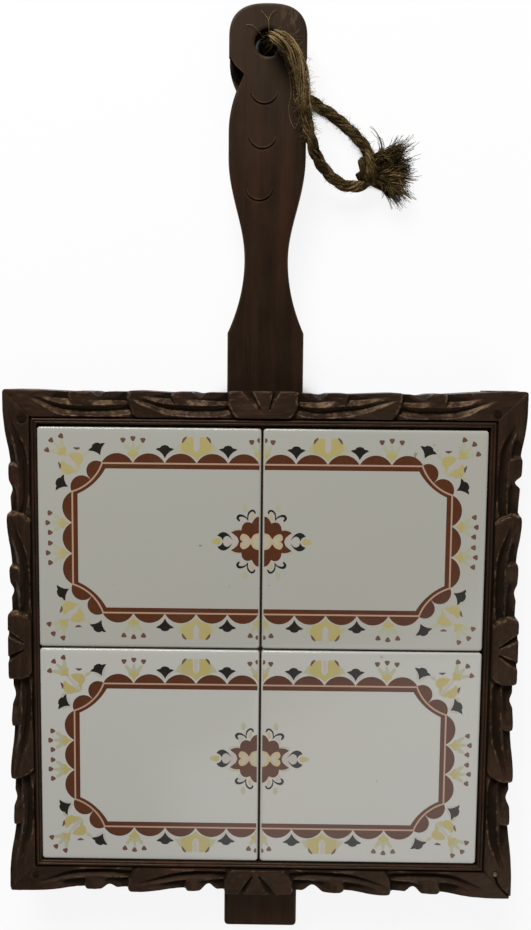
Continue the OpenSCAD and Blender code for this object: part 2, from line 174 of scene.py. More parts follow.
def activate(piece: Piece) -> None:
    """Makes a piece the only selected and the active object.

    Args:
        piece: the object.
    """
    deselect()
    piece.select_set(True)
    bpy.context.view_layer.objects.active = piece


@contextmanager
def editing(piece: Piece) -> Iterator[None]:
    """Keeps a piece in edit mode for the calls inside.

    Args:
        piece: the object.

    Returns:
        Nothing, while the mode lasts.
    """
    activate(piece)
    bpy.ops.object.mode_set(mode="EDIT")
    yield
    bpy.ops.object.mode_set(mode="OBJECT")


def link(name: str, data: bpy.types.ID) -> Piece:
    """A new object for a mesh, a camera or a lamp.

    Args:
        name: its name.
        data: what it shows.

    Returns:
        The object, at the origin.
    """
    piece = bpy.data.objects.new(name, data)
    bpy.context.scene.collection.objects.link(piece)
    return piece


def mesh_piece(name: str, points: Sequence[Sequence[float]], faces: Sequence[Sequence[int]]) -> Piece:
    """A new piece at the origin.

    Args:
        name: its name.
        points: the corners, in millimetres.
        faces: the faces, as lists of corner numbers.

    Returns:
        The piece.
    """
    mesh = bpy.data.meshes.new(name)
    mesh.from_pydata((np.asarray(points, float) * MM).tolist(), [], faces)
    mesh.validate()
    return link(name, mesh)


def ring_faces(count: int, around: int, first: int = 0, capped: bool = True) -> list[tuple[int, ...]]:
    """The faces between rings of points.

    Args:
        count: the number of rings.
        around: the number of points in a ring.
        first: the number of the first point.
        capped: whether a face closes the first ring and the last.

    Returns:
        The faces, as corner numbers.
    """
    last = first + (count - 1) * around
    faces = [(a + k, a + (k + 1) % around, a + around + (k + 1) % around, a + around + k)
             for a in range(first, last, around) for k in range(around)]
    if capped:
        faces += [tuple(range(first, first + around))[::-1], tuple(range(last, last + around))]
    return faces


def modify(piece: Piece, kind: str, **settings: object) -> None:
    """Adds a modifier to a piece and applies it.

    Args:
        piece: the object.
        kind: the modifier's type.
        settings: its properties.
    """
    activate(piece)
    modifier = piece.modifiers.new(kind.lower(), kind)
    for key, value in settings.items():
        setattr(modifier, key, value)
    bpy.ops.object.modifier_apply(modifier=modifier.name)


def clean(piece: Piece, merge: float = 0.001) -> None:
    """Merges a piece's doubles and turns its faces outwards.

    Args:
        piece: the object.
        merge: how far apart doubles lie at most, in millimetres.
    """
    with editing(piece):
        bpy.ops.mesh.select_all(action="SELECT")
        bpy.ops.mesh.remove_doubles(threshold=merge * MM)
        bpy.ops.mesh.normals_make_consistent(inside=False)


def join(name: str, first: Piece, second: Piece) -> Piece:
    """Joins two pieces.

    Args:
        name: the new name.
        first, second: the pieces.

    Returns:
        The one piece.
    """
    activate(first)
    second.select_set(True)
    bpy.ops.object.join()
    first.name = name
    first.data.name = name
    return first


def shade(piece: Piece, degrees: float) -> None:
    """Shades a piece smooth, apart from edges sharper than an angle."""
    activate(piece)
    bpy.ops.object.shade_smooth_by_angle(angle=math.radians(degrees), keep_sharp_edges=False)


def paint_points(piece: Piece, name: str, values: Array) -> None:
    """Stores one number per corner of a piece's mesh."""
    attribute = piece.data.attributes.new(name, "FLOAT", "POINT")
    attribute.data.foreach_set("value", np.asarray(values, np.float32).ravel())


def cut_with(piece: Piece, cutter: Piece) -> None:
    """Takes a cutter's solid out of a piece and deletes the cutter."""
    modify(piece, "BOOLEAN", operation="DIFFERENCE", object=cutter, solver="EXACT")
    bpy.data.objects.remove(cutter)


def dress(piece: Piece, finish: Material) -> None:
    """Gives a piece a finish in place of those that it has."""
    piece.data.materials.clear()
    piece.data.materials.append(finish)


def place(piece: Piece, body: Body, slot: Slot, finish: Material, *nodes: str) -> None:
    """Gives a piece its finish and its body, and says which CAD nodes it stands for.

    Args:
        piece: the object.
        body: the body that it rides on.
        slot: its material slot in the record; not used.
        finish: its material.
        nodes: the CAD nodes that it replaces.
    """
    dress(piece, finish)
    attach(piece, body.value)
    if nodes:
        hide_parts(*nodes)
    count = len(piece.data.polygons)
    LOG.info("%s: %d faces, on %s, for %s", piece.name, count, body.value, nodes or "no node")


class Field:
    """One value of a shader, which can be used in sums."""

    def __init__(self, paint: "Paint", socket: bpy.types.NodeSocket) -> None:
        """Wraps an output socket of a paint's node tree."""
        self.paint = paint
        self.socket = socket

    def _math(self, operation: str, first: object, second: object) -> "Field":
        """A Math node on two values."""
        return self.paint.node("ShaderNodeMath", {"operation": operation}, {0: first, 1: second})

    def __add__(self, other: object) -> "Field":
        """This plus other."""
        return self._math("ADD", self, other)

    def __sub__(self, other: object) -> "Field":
        """This minus other."""
        return self._math("SUBTRACT", self, other)

    def __rsub__(self, other: object) -> "Field":
        """Other minus this."""
        return self._math("SUBTRACT", other, self)

    def __mul__(self, other: object) -> "Field":
        """This times other."""
        return self._math("MULTIPLY", self, other)

    __radd__ = __add__
    __rmul__ = __mul__

    def most(self, other: object) -> "Field":
        """The larger of this and other."""
        return self._math("MAXIMUM", self, other)

    def step(self, start: float, end: float, low: float = 0.0, high: float = 1.0) -> "Field":
        """A smooth step from low to high as this goes from start to end."""
        inputs = {0: self, 1: start, 2: end, 3: low, 4: high}
        return self.paint.node("ShaderNodeMapRange", {"interpolation_type": "SMOOTHSTEP"}, inputs)


class Paint:
    """A material made from nodes."""

    def __init__(self, name: str) -> None:
        """Makes a named material, with nothing on its surface yet.

        Args:
            name: its name.
        """
        self.material = bpy.data.materials.new(name)
        self.material.use_nodes = True
        self.tree = self.material.node_tree
        self.tree.nodes.clear()
        self.output = self.tree.nodes.new("ShaderNodeOutputMaterial")

    def node(self, kind: str, settings: dict | None = None, inputs: dict | None = None,
             output: object = 0) -> Field:
        """Adds a node.

        Args:
            kind: its type.
            settings: its properties, set before its sockets. A ramp's "stops" are (place, colour) pairs.
            inputs: the values or links of its sockets, by name or number.
            output: the name or number of the output to return.

        Returns:
            That output.
        """
        node = self.tree.nodes.new(kind)
        for key, value in (settings or {}).items():
            if key == "stops":
                ramp = node.color_ramp.elements
                while len(ramp) < len(value):
                    ramp.new(1.0)
                for element, (spot, colour) in zip(ramp, value):
                    element.position = spot
                    element.color = colour
            else:
                setattr(node, key, value)
        for key, value in (inputs or {}).items():
            if isinstance(value, Field):
                self.tree.links.new(value.socket, node.inputs[key])
            else:
                node.inputs[key].default_value = value
        return Field(self, node.outputs[output])

    def places(self, stretch: Point3 = (1.0, 1.0, 1.0)) -> Field:
        """The place on the object in its own frame, stretched along each axis."""
        spot = self.node("ShaderNodeTexCoord", output="Object")
        return self.node("ShaderNodeMapping", {"vector_type": "POINT"}, {0: spot, "Scale": stretch})

    def axis(self, letter: str) -> Field:
        """The place on the object along one axis."""
        return self.node("ShaderNodeSeparateXYZ", None, {0: self.places()}, letter)

    def away(self, spot: Point3) -> Field:
        """The distance from a spot on the object."""
        inputs = {0: self.places(), 1: spot}
        return self.node("ShaderNodeVectorMath", {"operation": "DISTANCE"}, inputs, "Value")

    def noise(self, size: float, detail: float = 4.0, rough: float = 0.5, bend: float = 0.0,
              stretch: Point3 = (1.0, 1.0, 1.0)) -> Field:
        """Smooth noise.

        Args:
            size: the width of its features, in metres.
            detail, rough, bend: its octaves, their strength and how far it is distorted.
            stretch: how its places are stretched. A small number draws its features out along that axis.

        Returns:
            The noise, from 0 to 1.
        """
        inputs = {"Vector": self.places(stretch), "Scale": 1 / size, "Detail": detail, "Roughness": rough,
                  "Distortion": bend}
        return self.node("ShaderNodeTexNoise", None, inputs, "Fac")

    def mark(self, name: str) -> Field:
        """A number stored on the corners of the mesh."""
        settings = {"attribute_name": name, "attribute_type": "GEOMETRY"}
        return self.node("ShaderNodeAttribute", settings, output="Fac")

    def ramp(self, value: Field, *stops: tuple) -> Field:
        """A colour for a value, from (place, colour) stops."""
        return self.node("ShaderNodeValToRGB", {"stops": stops}, {0: value}, "Color")

    def mix(self, share: object, first: object, second: object) -> Field:
        """First colour where share is 0, and second where it is 1."""
        settings = {"data_type": "RGBA", "blend_type": "MIX", "clamp_factor": True}
        return self.node("ShaderNodeMix", settings, {0: share, 6: first, 7: second}, 2)

    def bump(self, height: Field, depth: float, strength: float = 1.0, under: Field | None = None) -> Field:
        """A surface normal for a height.

        Args:
            height: the height, from 0 to 1.
            depth: how deep that is, in metres.
            strength: how much of it shows.
            under: a normal that it is laid on.

        Returns:
            The normal.
        """
        inputs = {"Height": height, "Distance": depth, "Strength": strength}
        if under is not None:
            inputs["Normal"] = under
        return self.node("ShaderNodeBump", None, inputs, "Normal")

    def shown(self, shader: Field) -> Material:
        """The material, with a shader on its surface."""
        self.tree.links.new(shader.socket, self.output.inputs["Surface"])
        return self.material

    def surface(self, **inputs: object) -> Material:
        """The material with the usual shader, whose sockets are named in words joined by underscores."""
        named = {key.replace("_", " "): value for key, value in inputs.items()}
        return self.shown(self.node("ShaderNodeBsdfPrincipled", None, named, "BSDF"))


@dataclass(frozen=True)
class CarvedWood:
    """Wood with a dark stain: pale with rub and painted highlight where the wear mark is high, black with
    painted shade where the hollow mark is.
    """

    name: str
    along: Point3
    deep: Colour = srgb(6, 4, 3)
    stain: Colour = srgb(25, 17, 12)
    brown: Colour = srgb(40, 27, 19)
    red: Colour = srgb(56, 33, 23)
    rubbed: Colour = srgb(116, 92, 68)
    sheen: Colour = srgb(255, 214, 176)

    def material(self) -> Material:
        """The finish.

        Returns:
            The material.
        """
        p = Paint(self.name)
        grain = p.noise(0.0022, 6, 0.62, 0.3, self.along)
        pores = p.noise(0.0016, 3, 0.7, stretch=tuple(2.5 * a for a in self.along))
        patches = p.noise(0.022, 3)
        base = p.mix(grain.step(0.3, 0.72), self.stain, self.brown)
        base = p.mix(patches.step(0.5, 0.72, 0.0, 0.7), base, self.red)
        base = p.mix(p.noise(0.011, 3, 0.6).step(0.5, 0.74, 0.0, 0.55), base, self.deep)
        base = p.mix(pores.step(0.6, 0.72, 0.0, 0.5), base, self.deep)
        # The wear mark is rub, and also painted highlight on the slopes and step ends that face the window
        # lamp.
        rub = p.mark("wear") * p.noise(0.0042, 5, 0.7).step(0.42, 0.64, 0.1, 1.0)
        base = p.mix(rub.step(0.1, 1.1, 0.0, 0.6), base, self.rubbed)
        # The hollow mark is painted shade: black where the carving lies low.
        hollow = p.mark("hollow")
        base = p.mix(hollow.step(0.08, 0.75, 0.0, 0.92), base, self.deep)
        marks = p.bump(grain + 0.5 * pores, 0.00022, 0.8)
        fine = p.bump(p.noise(0.0012, 2), 0.0001, 0.5, marks)
        rough = patches.step(0.3, 0.7, 0.4, 0.52) + hollow.step(0.1, 0.8, 0.0, 0.4)
        return p.surface(Base_Color=base, Roughness=rough, Normal=fine, Specular_IOR_Level=0.3,
                         Specular_Tint=self.sheen)


@dataclass(frozen=True)
class BoardWood:
    """The board's oiled wood, with long reddish streaks, a paler head, pale rubbed edges and painted shade
    where the hollow mark is.
    """

    name: str = "oiled board"
    dark: Colour = srgb(20, 12, 7)
    brown: Colour = srgb(33, 19, 12)
    red: Colour = srgb(46, 23, 13)
    head: Colour = srgb(32, 26, 21)
    head_from: Point2 = (0.12, 0.215)
    rubbed: Colour = srgb(82, 65, 48)
    pore: Colour = srgb(9, 6, 4)
    sheen: Colour = srgb(255, 214, 176)
    scuff_at: Point3 = (0.0125, 0.2235, 0.018)
    scuff_reach: Point2 = (0.002, 0.009)

    def material(self) -> Material:
        """The finish.

        Returns:
            The material.
        """
        p = Paint(self.name)
        wide = p.noise(0.008, 4, 0.55, 0.5, (1.0, 0.07, 1.0))
        fine = p.noise(0.0011, 5, 0.6, 0.15, (1.0, 0.03, 1.0))
        pores = p.noise(0.0006, 2, 0.6, stretch=(1.0, 0.045, 1.0))
        reddish = p.noise(0.016, 3, stretch=(1.0, 0.16, 1.0)).step(0.48, 0.68, 0.0, 0.7)
        headward = p.axis("Y").step(*self.head_from, 0.0, 0.72) * wide.step(0.2, 0.75, 0.6, 1.0)
        base = p.mix(wide.step(0.34, 0.66), self.dark, self.brown)
        base = p.mix(reddish, base, self.red)
        base = p.mix(headward, base, self.head)
        base = p.mix(fine.step(0.5, 0.78, 0.0, 0.45), base, self.pore)
        base = p.mix(pores.step(0.62, 0.7, 0.0, 0.55), base, self.pore)
        rub = p.mark("wear") * p.noise(0.006, 4, 0.6, stretch=(1.0, 0.4, 1.0)).step(0.35, 0.65, 0.25, 1.0)
        base = p.mix(0.7 * rub, base, self.rubbed)
        torn = p.noise(0.003, 4, 0.6, stretch=(1.0, 0.4, 1.0)).step(0.46, 0.6)
        scuff = 0.6 * (1 - p.away(self.scuff_at).step(*self.scuff_reach))
        base = p.mix(scuff * torn, base, self.rubbed)
        # The hollow mark is painted shade on the walls of the notches and the hole.
        hollow = p.mark("hollow")
        base = p.mix(0.9 * hollow, base, self.pore)
        rough = wide.step(0.3, 0.7, 0.4, 0.5) + p.noise(0.02).step(0.4, 0.7, 0.0, 0.08) + 0.4 * hollow
        normal = p.bump(fine + 0.6 * pores, 0.00012, 0.7)
        return p.surface(Base_Color=base, Roughness=rough, Normal=normal, Specular_IOR_Level=0.2,
                         Specular_Tint=self.sheen)


@dataclass(frozen=True)
class PlainWood:
    """Wood for the panel and the pegs."""

    name: str
    light: Colour
    dark: Colour
    along: Point3
    grain: float = 0.0015
    depth: float = 0.0001

    def material(self) -> Material:
        """The finish.

        Returns:
            The material.
        """
        p = Paint(self.name)
        grain = p.noise(self.grain, 5, 0.6, 0.4, self.along)
        base = p.mix(grain.step(0.32, 0.7), self.light, self.dark)
        base = p.mix(p.noise(0.03, 3).step(0.45, 0.75, 0.0, 0.4), base, self.dark)
        return p.surface(Base_Color=base, Roughness=grain.step(0.3, 0.7, 0.6, 0.8),
                         Normal=p.bump(grain, self.depth), Specular_IOR_Level=0.2, Specular_Tint=self.light)


@dataclass(frozen=True)
class Glaze:
    """A tile's clear glaze over grey-white, with a matt biscuit body low on its sides."""

    name: str
    white: Colour
    biscuit: Colour = srgb(176, 160, 138)
    speck: Colour = srgb(92, 66, 48)
    biscuit_top: Point2 = (0.0241, 0.0249)

    def material(self) -> Material:
        """The finish.

        Returns:
            The material.
        """
        p = Paint(self.name)
        glazed = p.axis("Z").step(*self.biscuit_top)
        base = p.mix(p.noise(0.045, 3).step(0.35, 0.7, 0.0, 0.06), self.white, self.biscuit)
        specks = p.noise(0.0042, 1, 0.3).step(0.785, 0.8) * p.noise(0.02, 1).step(0.5, 0.6)
        base = p.mix(0.5 * specks, base, self.speck)
        base = p.mix(glazed, self.biscuit, base)
        return p.surface(Base_Color=base, Roughness=glazed.step(0.0, 1.0, 0.8, 0.16),
                         Normal=p.bump(p.noise(0.009, 2), 0.00003))


@dataclass(frozen=True)
class PrintInk:
    """Printed colour under the same glaze, a little uneven where the colour went on thin."""

    name: str
    full: Colour
    thin: Colour
    dots: float = 0.0013

    def material(self) -> Material:
        """The finish.

        Returns:
            The material.
        """
        p = Paint(self.name)
        uneven = 0.5 * p.noise(self.dots, 4, 0.6).step(0.42, 0.8) + 0.4 * p.noise(0.012, 3).step(0.4, 0.8)
        return p.surface(Base_Color=p.mix(uneven, self.full, self.thin),
                         Roughness=uneven.step(0.0, 1.0, 0.17, 0.24),
                         Normal=p.bump(p.noise(0.009, 2), 0.00003))


@dataclass(frozen=True)
class Adhesive:
    """Hardened tile adhesive."""

    name: str = "tile adhesive"
    pale: Colour = srgb(190, 182, 164)
    grey: Colour = srgb(150, 143, 128)

    def material(self) -> Material:
        """The finish.

        Returns:
            The material.
        """
        p = Paint(self.name)
        lumps = p.noise(0.002, 5, 0.6)
        return p.surface(Base_Color=p.mix(lumps.step(0.35, 0.7), self.grey, self.pale),
                         Roughness=lumps.step(0.3, 0.7, 0.8, 0.95), Normal=p.bump(lumps, 0.0003))


@dataclass(frozen=True)
class OldMetal:
    """Metal with dull and tarnished spots."""

    name: str
    bright: Colour
    dull: Colour
    rough: float = 0.32

    def material(self) -> Material:
        """The finish.

        Returns:
            The material.
        """
        p = Paint(self.name)
        spots = p.noise(0.0012, 5, 0.65)
        tarnish = spots.step(0.45, 0.7)
        return p.surface(Base_Color=p.mix(tarnish, self.bright, self.dull),
                         Metallic=tarnish.step(0.0, 1.0, 1.0, 0.6),
                         Roughness=tarnish.step(0.0, 1.0, self.rough, self.rough + 0.3),
                         Normal=p.bump(spots, 0.00005))


@dataclass(frozen=True)
class Jute:
    """Rope fibre. Reads the shade mark, a number for each yarn, from 0 for dark to 1 for pale."""

    name: str = "jute"
    dark: Colour = srgb(19, 14, 7)
    mid: Colour = srgb(76, 61, 36)
    pale: Colour = srgb(186, 158, 112)

    def material(self) -> Material:
        """The finish.

        Returns:
            The material.
        """
        p = Paint(self.name)
        hairs = p.noise(0.0005, 3, 0.7)
        mottle = p.noise(0.007, 3).step(0.3, 0.7, -0.08, 0.12)
        tone = 0.62 * p.mark("shade") + hairs.step(0.3, 0.7, -0.12, 0.2) + mottle
        base = p.ramp(tone, (0.0, self.dark), (0.42, self.mid), (1.0, self.pale))
        return p.surface(Base_Color=base, Roughness=hairs.step(0.3, 0.7, 0.7, 0.9),
                         Normal=p.bump(hairs, 0.0002), Specular_IOR_Level=0.12, Specular_Tint=self.mid)


@dataclass(frozen=True)
class StudioPaper:
    """The floor: white to the camera, and to gloss, with a share of its own shading left for the shadow,
    and a painted shadow under the board's hole.
    """

    name: str = "white paper"
    white: Colour = (0.82, 0.82, 0.82, 1.0)
    glow: Colour = (1.0, 1.0, 1.0, 1.0)
    own_share: float = 0.12
    reach: float = 0.02
    # A painted shadow lies on the paper under the board's hole: its middle, the reach of its soft edge, and
    # its dark colour.
    hole_at: Point3 = (0.0004, 0.2152, 0.0)
    hole_shadow_reach: Point2 = (0.0042, 0.0082)
    covered: Point2 = (0.25, 0.4)
    under: Colour = (0.012, 0.011, 0.01, 1.0)

    def material(self) -> Material:
        """The finish.

        Returns:
            The material.
        """
        p = Paint(self.name)
        camera, gloss, through = (p.node("ShaderNodeLightPath", output=ray) for ray in
                                  ("Is Camera Ray", "Is Glossy Ray", "Is Transmission Ray"))
        open_sky = p.node("ShaderNodeAmbientOcclusion", {"samples": 16}, {"Distance": self.reach}, "AO")
        # Inside the painted shadow under the hole the glow is off and the paper takes the dark colour.
        clear = p.away(self.hole_at).step(*self.hole_shadow_reach)
        seen = camera.most(gloss).most(through) * open_sky.step(*self.covered) * clear
        colour = p.mix(clear, self.under, self.white)
        paper = p.node("ShaderNodeBsdfDiffuse", None, {"Color": colour}, "BSDF")
        glow = p.node("ShaderNodeEmission", None, {"Color": self.glow, "Strength": 1.0}, "Emission")
        inputs = {0: (1 - self.own_share) * seen, 1: paper, 2: glow}
        return p.shown(p.node("ShaderNodeMixShader", None, inputs, "Shader"))


@dataclass
class Studio:
    """The camera, the light and the floor. The camera stands where the photograph was taken."""

    picture: Point2 = (531, 930)
    focal_px: float = 900.0
    sensor: float = 36.0
    camera_at: Point3 = (4.7, 51.6, 458.7)
    camera_turn: Point3 = (-5.28, 0.503, 0.544)
    floor_size: float = 8.0
    sky: float = 0.17
    lamps: tuple = (
        ("window", (-0.35, 1.35, 0.95), (0.9, 0.7), 35.0),
        ("room", (0.5, -0.9, 1.1), (1.2, 1.2), 6.0),
    )

    def build(self) -> None:
        """Makes the camera, lamps, world and floor."""
        scene = bpy.context.scene
        data = bpy.data.cameras.new("photograph")
        data.sensor_fit = "VERTICAL"
        data.sensor_height = self.sensor
        data.lens = self.focal_px / self.picture[1] * self.sensor
        data.clip_start = 0.01
        camera = link("photograph", data)
        camera.location = Vector(self.camera_at) * MM
        camera.rotation_euler = [math.radians(a) for a in self.camera_turn]
        scene.camera = camera
        scene.view_settings.view_transform = "Standard"
        for name, spot, size, power in self.lamps:
            self._lamp(name, Vector(spot), size, power)
        world = bpy.data.worlds.new("sky")
        world.use_nodes = True
        background = world.node_tree.nodes["Background"]
        background.inputs["Color"].default_value = (1.0, 1.0, 1.0, 1.0)
        background.inputs["Strength"].default_value = self.sky
        scene.world = world
        self._floor()

    def _lamp(self, name: str, spot: Vector, size: Point2, power: float) -> None:
        """Makes a soft lamp that points at the middle of the part.

        Args:
            name: its name.
            spot: its place, in metres.
            size: its width and height.
            power: its power.
        """
        data = bpy.data.lights.new(name, "AREA")
        data.shape = "RECTANGLE"
        data.size, data.size_y = size
        data.energy = power
        lamp = link(name, data)
        lamp.location = spot
        lamp.rotation_euler = (-spot).to_track_quat("-Z", "Y").to_euler()

    def _floor(self) -> None:
        """A wide sheet of white paper under the part."""
        deselect()
        bpy.ops.mesh.primitive_plane_add(size=self.floor_size, location=(0, 0, 0))
        floor = bpy.context.object
        floor.name = "floor"
        floor.data.materials.append(StudioPaper().material())


def smooth_line(points: Sequence[Sequence[float]], fine: int) -> Array:
    """A Catmull-Rom curve through points.

    Args:
        points: the chosen points, flat or in space.
        fine: the number of steps between two of them.

    Returns:
        The places along the curve.
    """
    points = np.asarray(points, float)
    ends = np.vstack([2 * points[0] - points[1], points, 2 * points[-1] - points[-2]])
    t = np.linspace(0, 1, fine, endpoint=False)[:, None]
    rows = []
    for a, b, c, d in zip(ends, ends[1:], ends[2:], ends[3:]):
        rows.append(0.5 * (2 * b + (c - a) * t + (2 * a - 5 * b + 4 * c - d) * t ** 2
                           + (3 * b - a - 3 * c + d) * t ** 3))
    return np.vstack(rows + [points[-1:]])


class Route:
    """A smooth line through chosen points, with a frame that doesn't turn about it."""

    def __init__(self, points: Sequence[Point3], step: float = 0.6) -> None:
        """Runs the line.

        Args:
            points: the chosen points, in millimetres.
            step: the distance between the places on it.
        """
        line = smooth_line(points, 16)
        gone = np.concatenate([[0], np.cumsum(np.linalg.norm(np.diff(line, axis=0), axis=1))])
        count = max(int(gone[-1] / step), 4)
        self.length = float(gone[-1])
        self.gone = np.linspace(0, gone[-1], count)
        self.places = np.stack([np.interp(self.gone, gone, line[:, k]) for k in range(3)], axis=1)
        self.sides, self.ups = frames(self.places)

    def beside(self, across: Array, up: Array) -> Array:
        """The line moved sideways and up in its own frame, by one distance per place."""
        return self.places + self.sides * across[:, None] + self.ups * up[:, None]


def frames(line: Array) -> tuple[Array, Array]:
    """Directions across a line that turn as little as can be.

    Args:
        line: its places.

    Returns:
        Two unit directions per place, square to the line and to each other.
    """
    ways = np.gradient(line, axis=0)
    ways /= np.linalg.norm(ways, axis=1)[:, None] + 1e-12
    side = np.cross(ways[0], (0.31, 0.52, 0.79))
    sides = np.empty_like(line)
    for i, way in enumerate(ways):
        side = side - way * side.dot(way)
        side /= np.linalg.norm(side) + 1e-12
        sides[i] = side
    return sides, np.cross(ways, sides)


class Bundle:
    """Gathers many thin closed tubes into one mesh, each with its own shade."""

    def __init__(self) -> None:
        """Starts with no tube."""
        self.points: list[Array] = []
        self.faces: list[tuple[int, ...]] = []
        self.shades: list[float] = []
        self.count = 0

    def add(self, line: Array, radius: Array | float, sides: int, shade: Array | float) -> None:
        """Adds a tube.

        Args:
            line: the places along its middle, in millimetres.
            radius: one radius, or one per place.
            sides: its number of sides.
            shade: from 0 for dark to 1 for pale, one or one per place.
        """
        n = len(line)
        across, up = frames(line)
        angles = np.arange(sides) * 2 * math.pi / sides
        radii = np.broadcast_to(radius, n)[:, None, None]
        rings = line[:, None] + radii * (np.cos(angles)[None, :, None] * across[:, None]
                                         + np.sin(angles)[None, :, None] * up[:, None])
        self.faces += ring_faces(n, sides, self.count)
        self.points.append(rings.reshape(-1, 3))
        self.shades += np.repeat(np.broadcast_to(shade, n), sides).tolist()
        self.count += n * sides

    def piece(self, name: str) -> Piece:
        """The tubes as one object, with the shade mark on it.

        Args:
            name: its name.

        Returns:
            The object.
        """
        piece = mesh_piece(name, np.vstack(self.points), self.faces)
        paint_points(piece, "shade", np.array(self.shades))
        shade(piece, 60)
        return piece


@dataclass
class LaidRope:
    """Three-ply rope along a route.

    Each ply is a ring of yarns. Near its start the rope may be unlaid, darkened by painted shade in the
    hole, paler or nudged aside.
    """

    route: Route
    diameter: float = 6.0
    lay: float = 24.0
    ply_lay: float = 13.0
    plies: int = 3
    yarns: int = 13
    yarn_share: float = 0.21
    ply_share: float = 0.19
    contrast: float = 0.42
    open_until: float = 0.0
    open_fade: float = 18.0
    open_spread: float = 3.4
    narrow_share: float = 0.55
    narrow_until: float = 14.0
    tone: float = 0.0
    nudge: Point3 = (0.0, 0.0, 0.0)
    nudge_fade: Point2 = (6.0, 22.0)
    # The lengths over which the hole's painted shade fades off the yarns.
    out_of_hole_shade: Point2 = (-2.0, -1.0)
    # How much paler the yarns are painted near the start, fading out between the two lengths after it.
    paler_start: float = 0.0
    paler_until: Point2 = (20.0, 58.0)
    seed: int = 3
    start_angle: float = 0.4
    yarn_sides: int = 5
    wave: float = 7.0
    stray: float = 0.7
    lumps: float = 0.14
    thinning: float = 0.16
    lit_share: float = 0.15

    def openness(self) -> Array:
        """How far the rope is unlaid at each place, from 0 to 1."""
        closed = smooth(self.route.gone, self.open_until, self.open_until + self.open_fade)
        return (1 - closed) * (self.open_until > 0)

    def fill(self, bundle: Bundle) -> None:
        """Adds the rope's yarns to a bundle.

        Args:
            bundle: where the yarns go.
        """
        draw = np.random.default_rng(self.seed)
        wander = Noise(self.seed)
        gone, loose = self.route.gone, self.openness()
        ply_middle = self.ply_share * self.diameter
        ply_half = self.diameter / 2 - ply_middle
        yarn_half = self.yarn_share * ply_half
        widen = self.narrow_share + (1 - self.narrow_share) * smooth(gone, 3, self.narrow_until)
        turn = self.start_angle + 2 * math.pi * gone / self.lay
        total = self.plies * self.yarns
        for ply in range(self.plies):
            ply_turn = turn + 2 * math.pi * ply / self.plies
            ply_shade = self.tone + draw.uniform(0.3, 0.5)
            for yarn in range(self.yarns):
                own = 2 * math.pi * yarn / self.yarns - 2 * math.pi * gone / self.ply_lay
                across = ply_middle * np.cos(ply_turn) + (ply_half - yarn_half) * np.cos(own)
                up = ply_middle * np.sin(ply_turn) + (ply_half - yarn_half) * np.sin(own)
                number = ply * self.yarns + yarn
                free_turn = 2.4 * number + 2 * math.pi * gone / (4 * self.lay)
                reach = self.open_spread * math.sqrt((number + 0.5) / total) * widen
                drift = wander.at(gone, number * 7.7, self.wave, 1.0)
                rise = wander.at(gone, number * 7.7 + 401, self.wave, 1.0)
                across = across * (1 - loose) + loose * (reach * np.cos(free_turn) + self.stray * drift)
                up = up * (1 - loose) + loose * (reach * np.sin(free_turn) + self.stray * rise)
                swell = 1 + self.lumps * wander.at(gone, number * 3.1 + 77, 2.2, 1.0)
                moved = np.outer(1 - smooth(gone, *self.nudge_fade), self.nudge)
                line = self.route.beside(across, up) + moved
                tone = ply_shade + self.contrast * draw.uniform(-0.7, 1.0) + self.lit_share * rise
                # Yarns paler near the start.
                tone = tone + self.paler_start * (1 - smooth(gone, *self.paler_until))
                # Painted shade: yarns are darker where they lie in the hole, up to the given lengths.
                tone = np.clip(tone, 0, 1) * smooth(gone, *self.out_of_hole_shade)
                bundle.add(line, yarn_half * swell * (1 - self.thinning * loose), self.yarn_sides, tone)


@dataclass
class Fibres:
    """Draws loose fibres on ropes."""

    seed: int
    floor: float = 0.25

    def __post_init__(self) -> None:
        """Starts the seeded draws."""
        self.draw = np.random.default_rng(self.seed)

    def curl(self, start: Array, way: Array, length: float, bend: float, places: int) -> Array:
        """A fibre that leaves a place in a direction and curls.

        Args:
            start: where it starts.
            way: the direction in which it leaves.
            length: its length.
            bend: how much its direction changes along it.
            places: the number of places along it.

        Returns:
            Its places.
        """
        heading = way / np.linalg.norm(way)
        twist = self.draw.normal(0, bend, 3)
        line = [start]
        for _ in range(places - 1):
            heading = heading + twist / places + self.draw.normal(0, bend * 0.35, 3) / places
            heading /= np.linalg.norm(heading)
            line.append(line[-1] + heading * length / (places - 1))
        out = np.array(line)
        out[:, 2] = np.maximum(out[:, 2], self.floor)
        return out

    def fuzz(self, bundle: Bundle, rope: LaidRope, count: int, first: float, last: float,
             reach: Point2) -> None:
        """Adds fibres that stand off a rope between two lengths along it.

        Args:
            bundle: where the fibres go.
            rope: the rope.
            count: how many there are.
            first, last: the lengths along the rope that they lie between.
            reach: their least and greatest length.
        """
        route = rope.route
        ways = np.gradient(route.places, axis=0)
        for _ in range(count):
            i = min(int(np.searchsorted(route.gone, self.draw.uniform(first, last))), len(route.gone) - 1)
            angle = self.draw.uniform(0, 2 * math.pi)
            out = math.cos(angle) * route.sides[i] + math.sin(angle) * route.ups[i]
            forward = ways[i] / np.linalg.norm(ways[i]) * self.draw.choice([-1.0, 1.0])
            way = forward * self.draw.uniform(0.6, 1.6) + out * 0.9
            start = route.places[i] + out * rope.diameter * 0.4
            line = self.curl(start, way, self.draw.uniform(*reach), 1.5, 7)
            bundle.add(line, np.linspace(0.07, 0.04, len(line)), 3, self.draw.uniform(0.2, 0.9))

    @staticmethod
    def wisp(bundle: Bundle, points: Sequence[Point3]) -> None:
        """Adds one long pale fibre through chosen points."""
        bundle.add(Route(points, 1.2).places, 0.09, 4, 0.9)


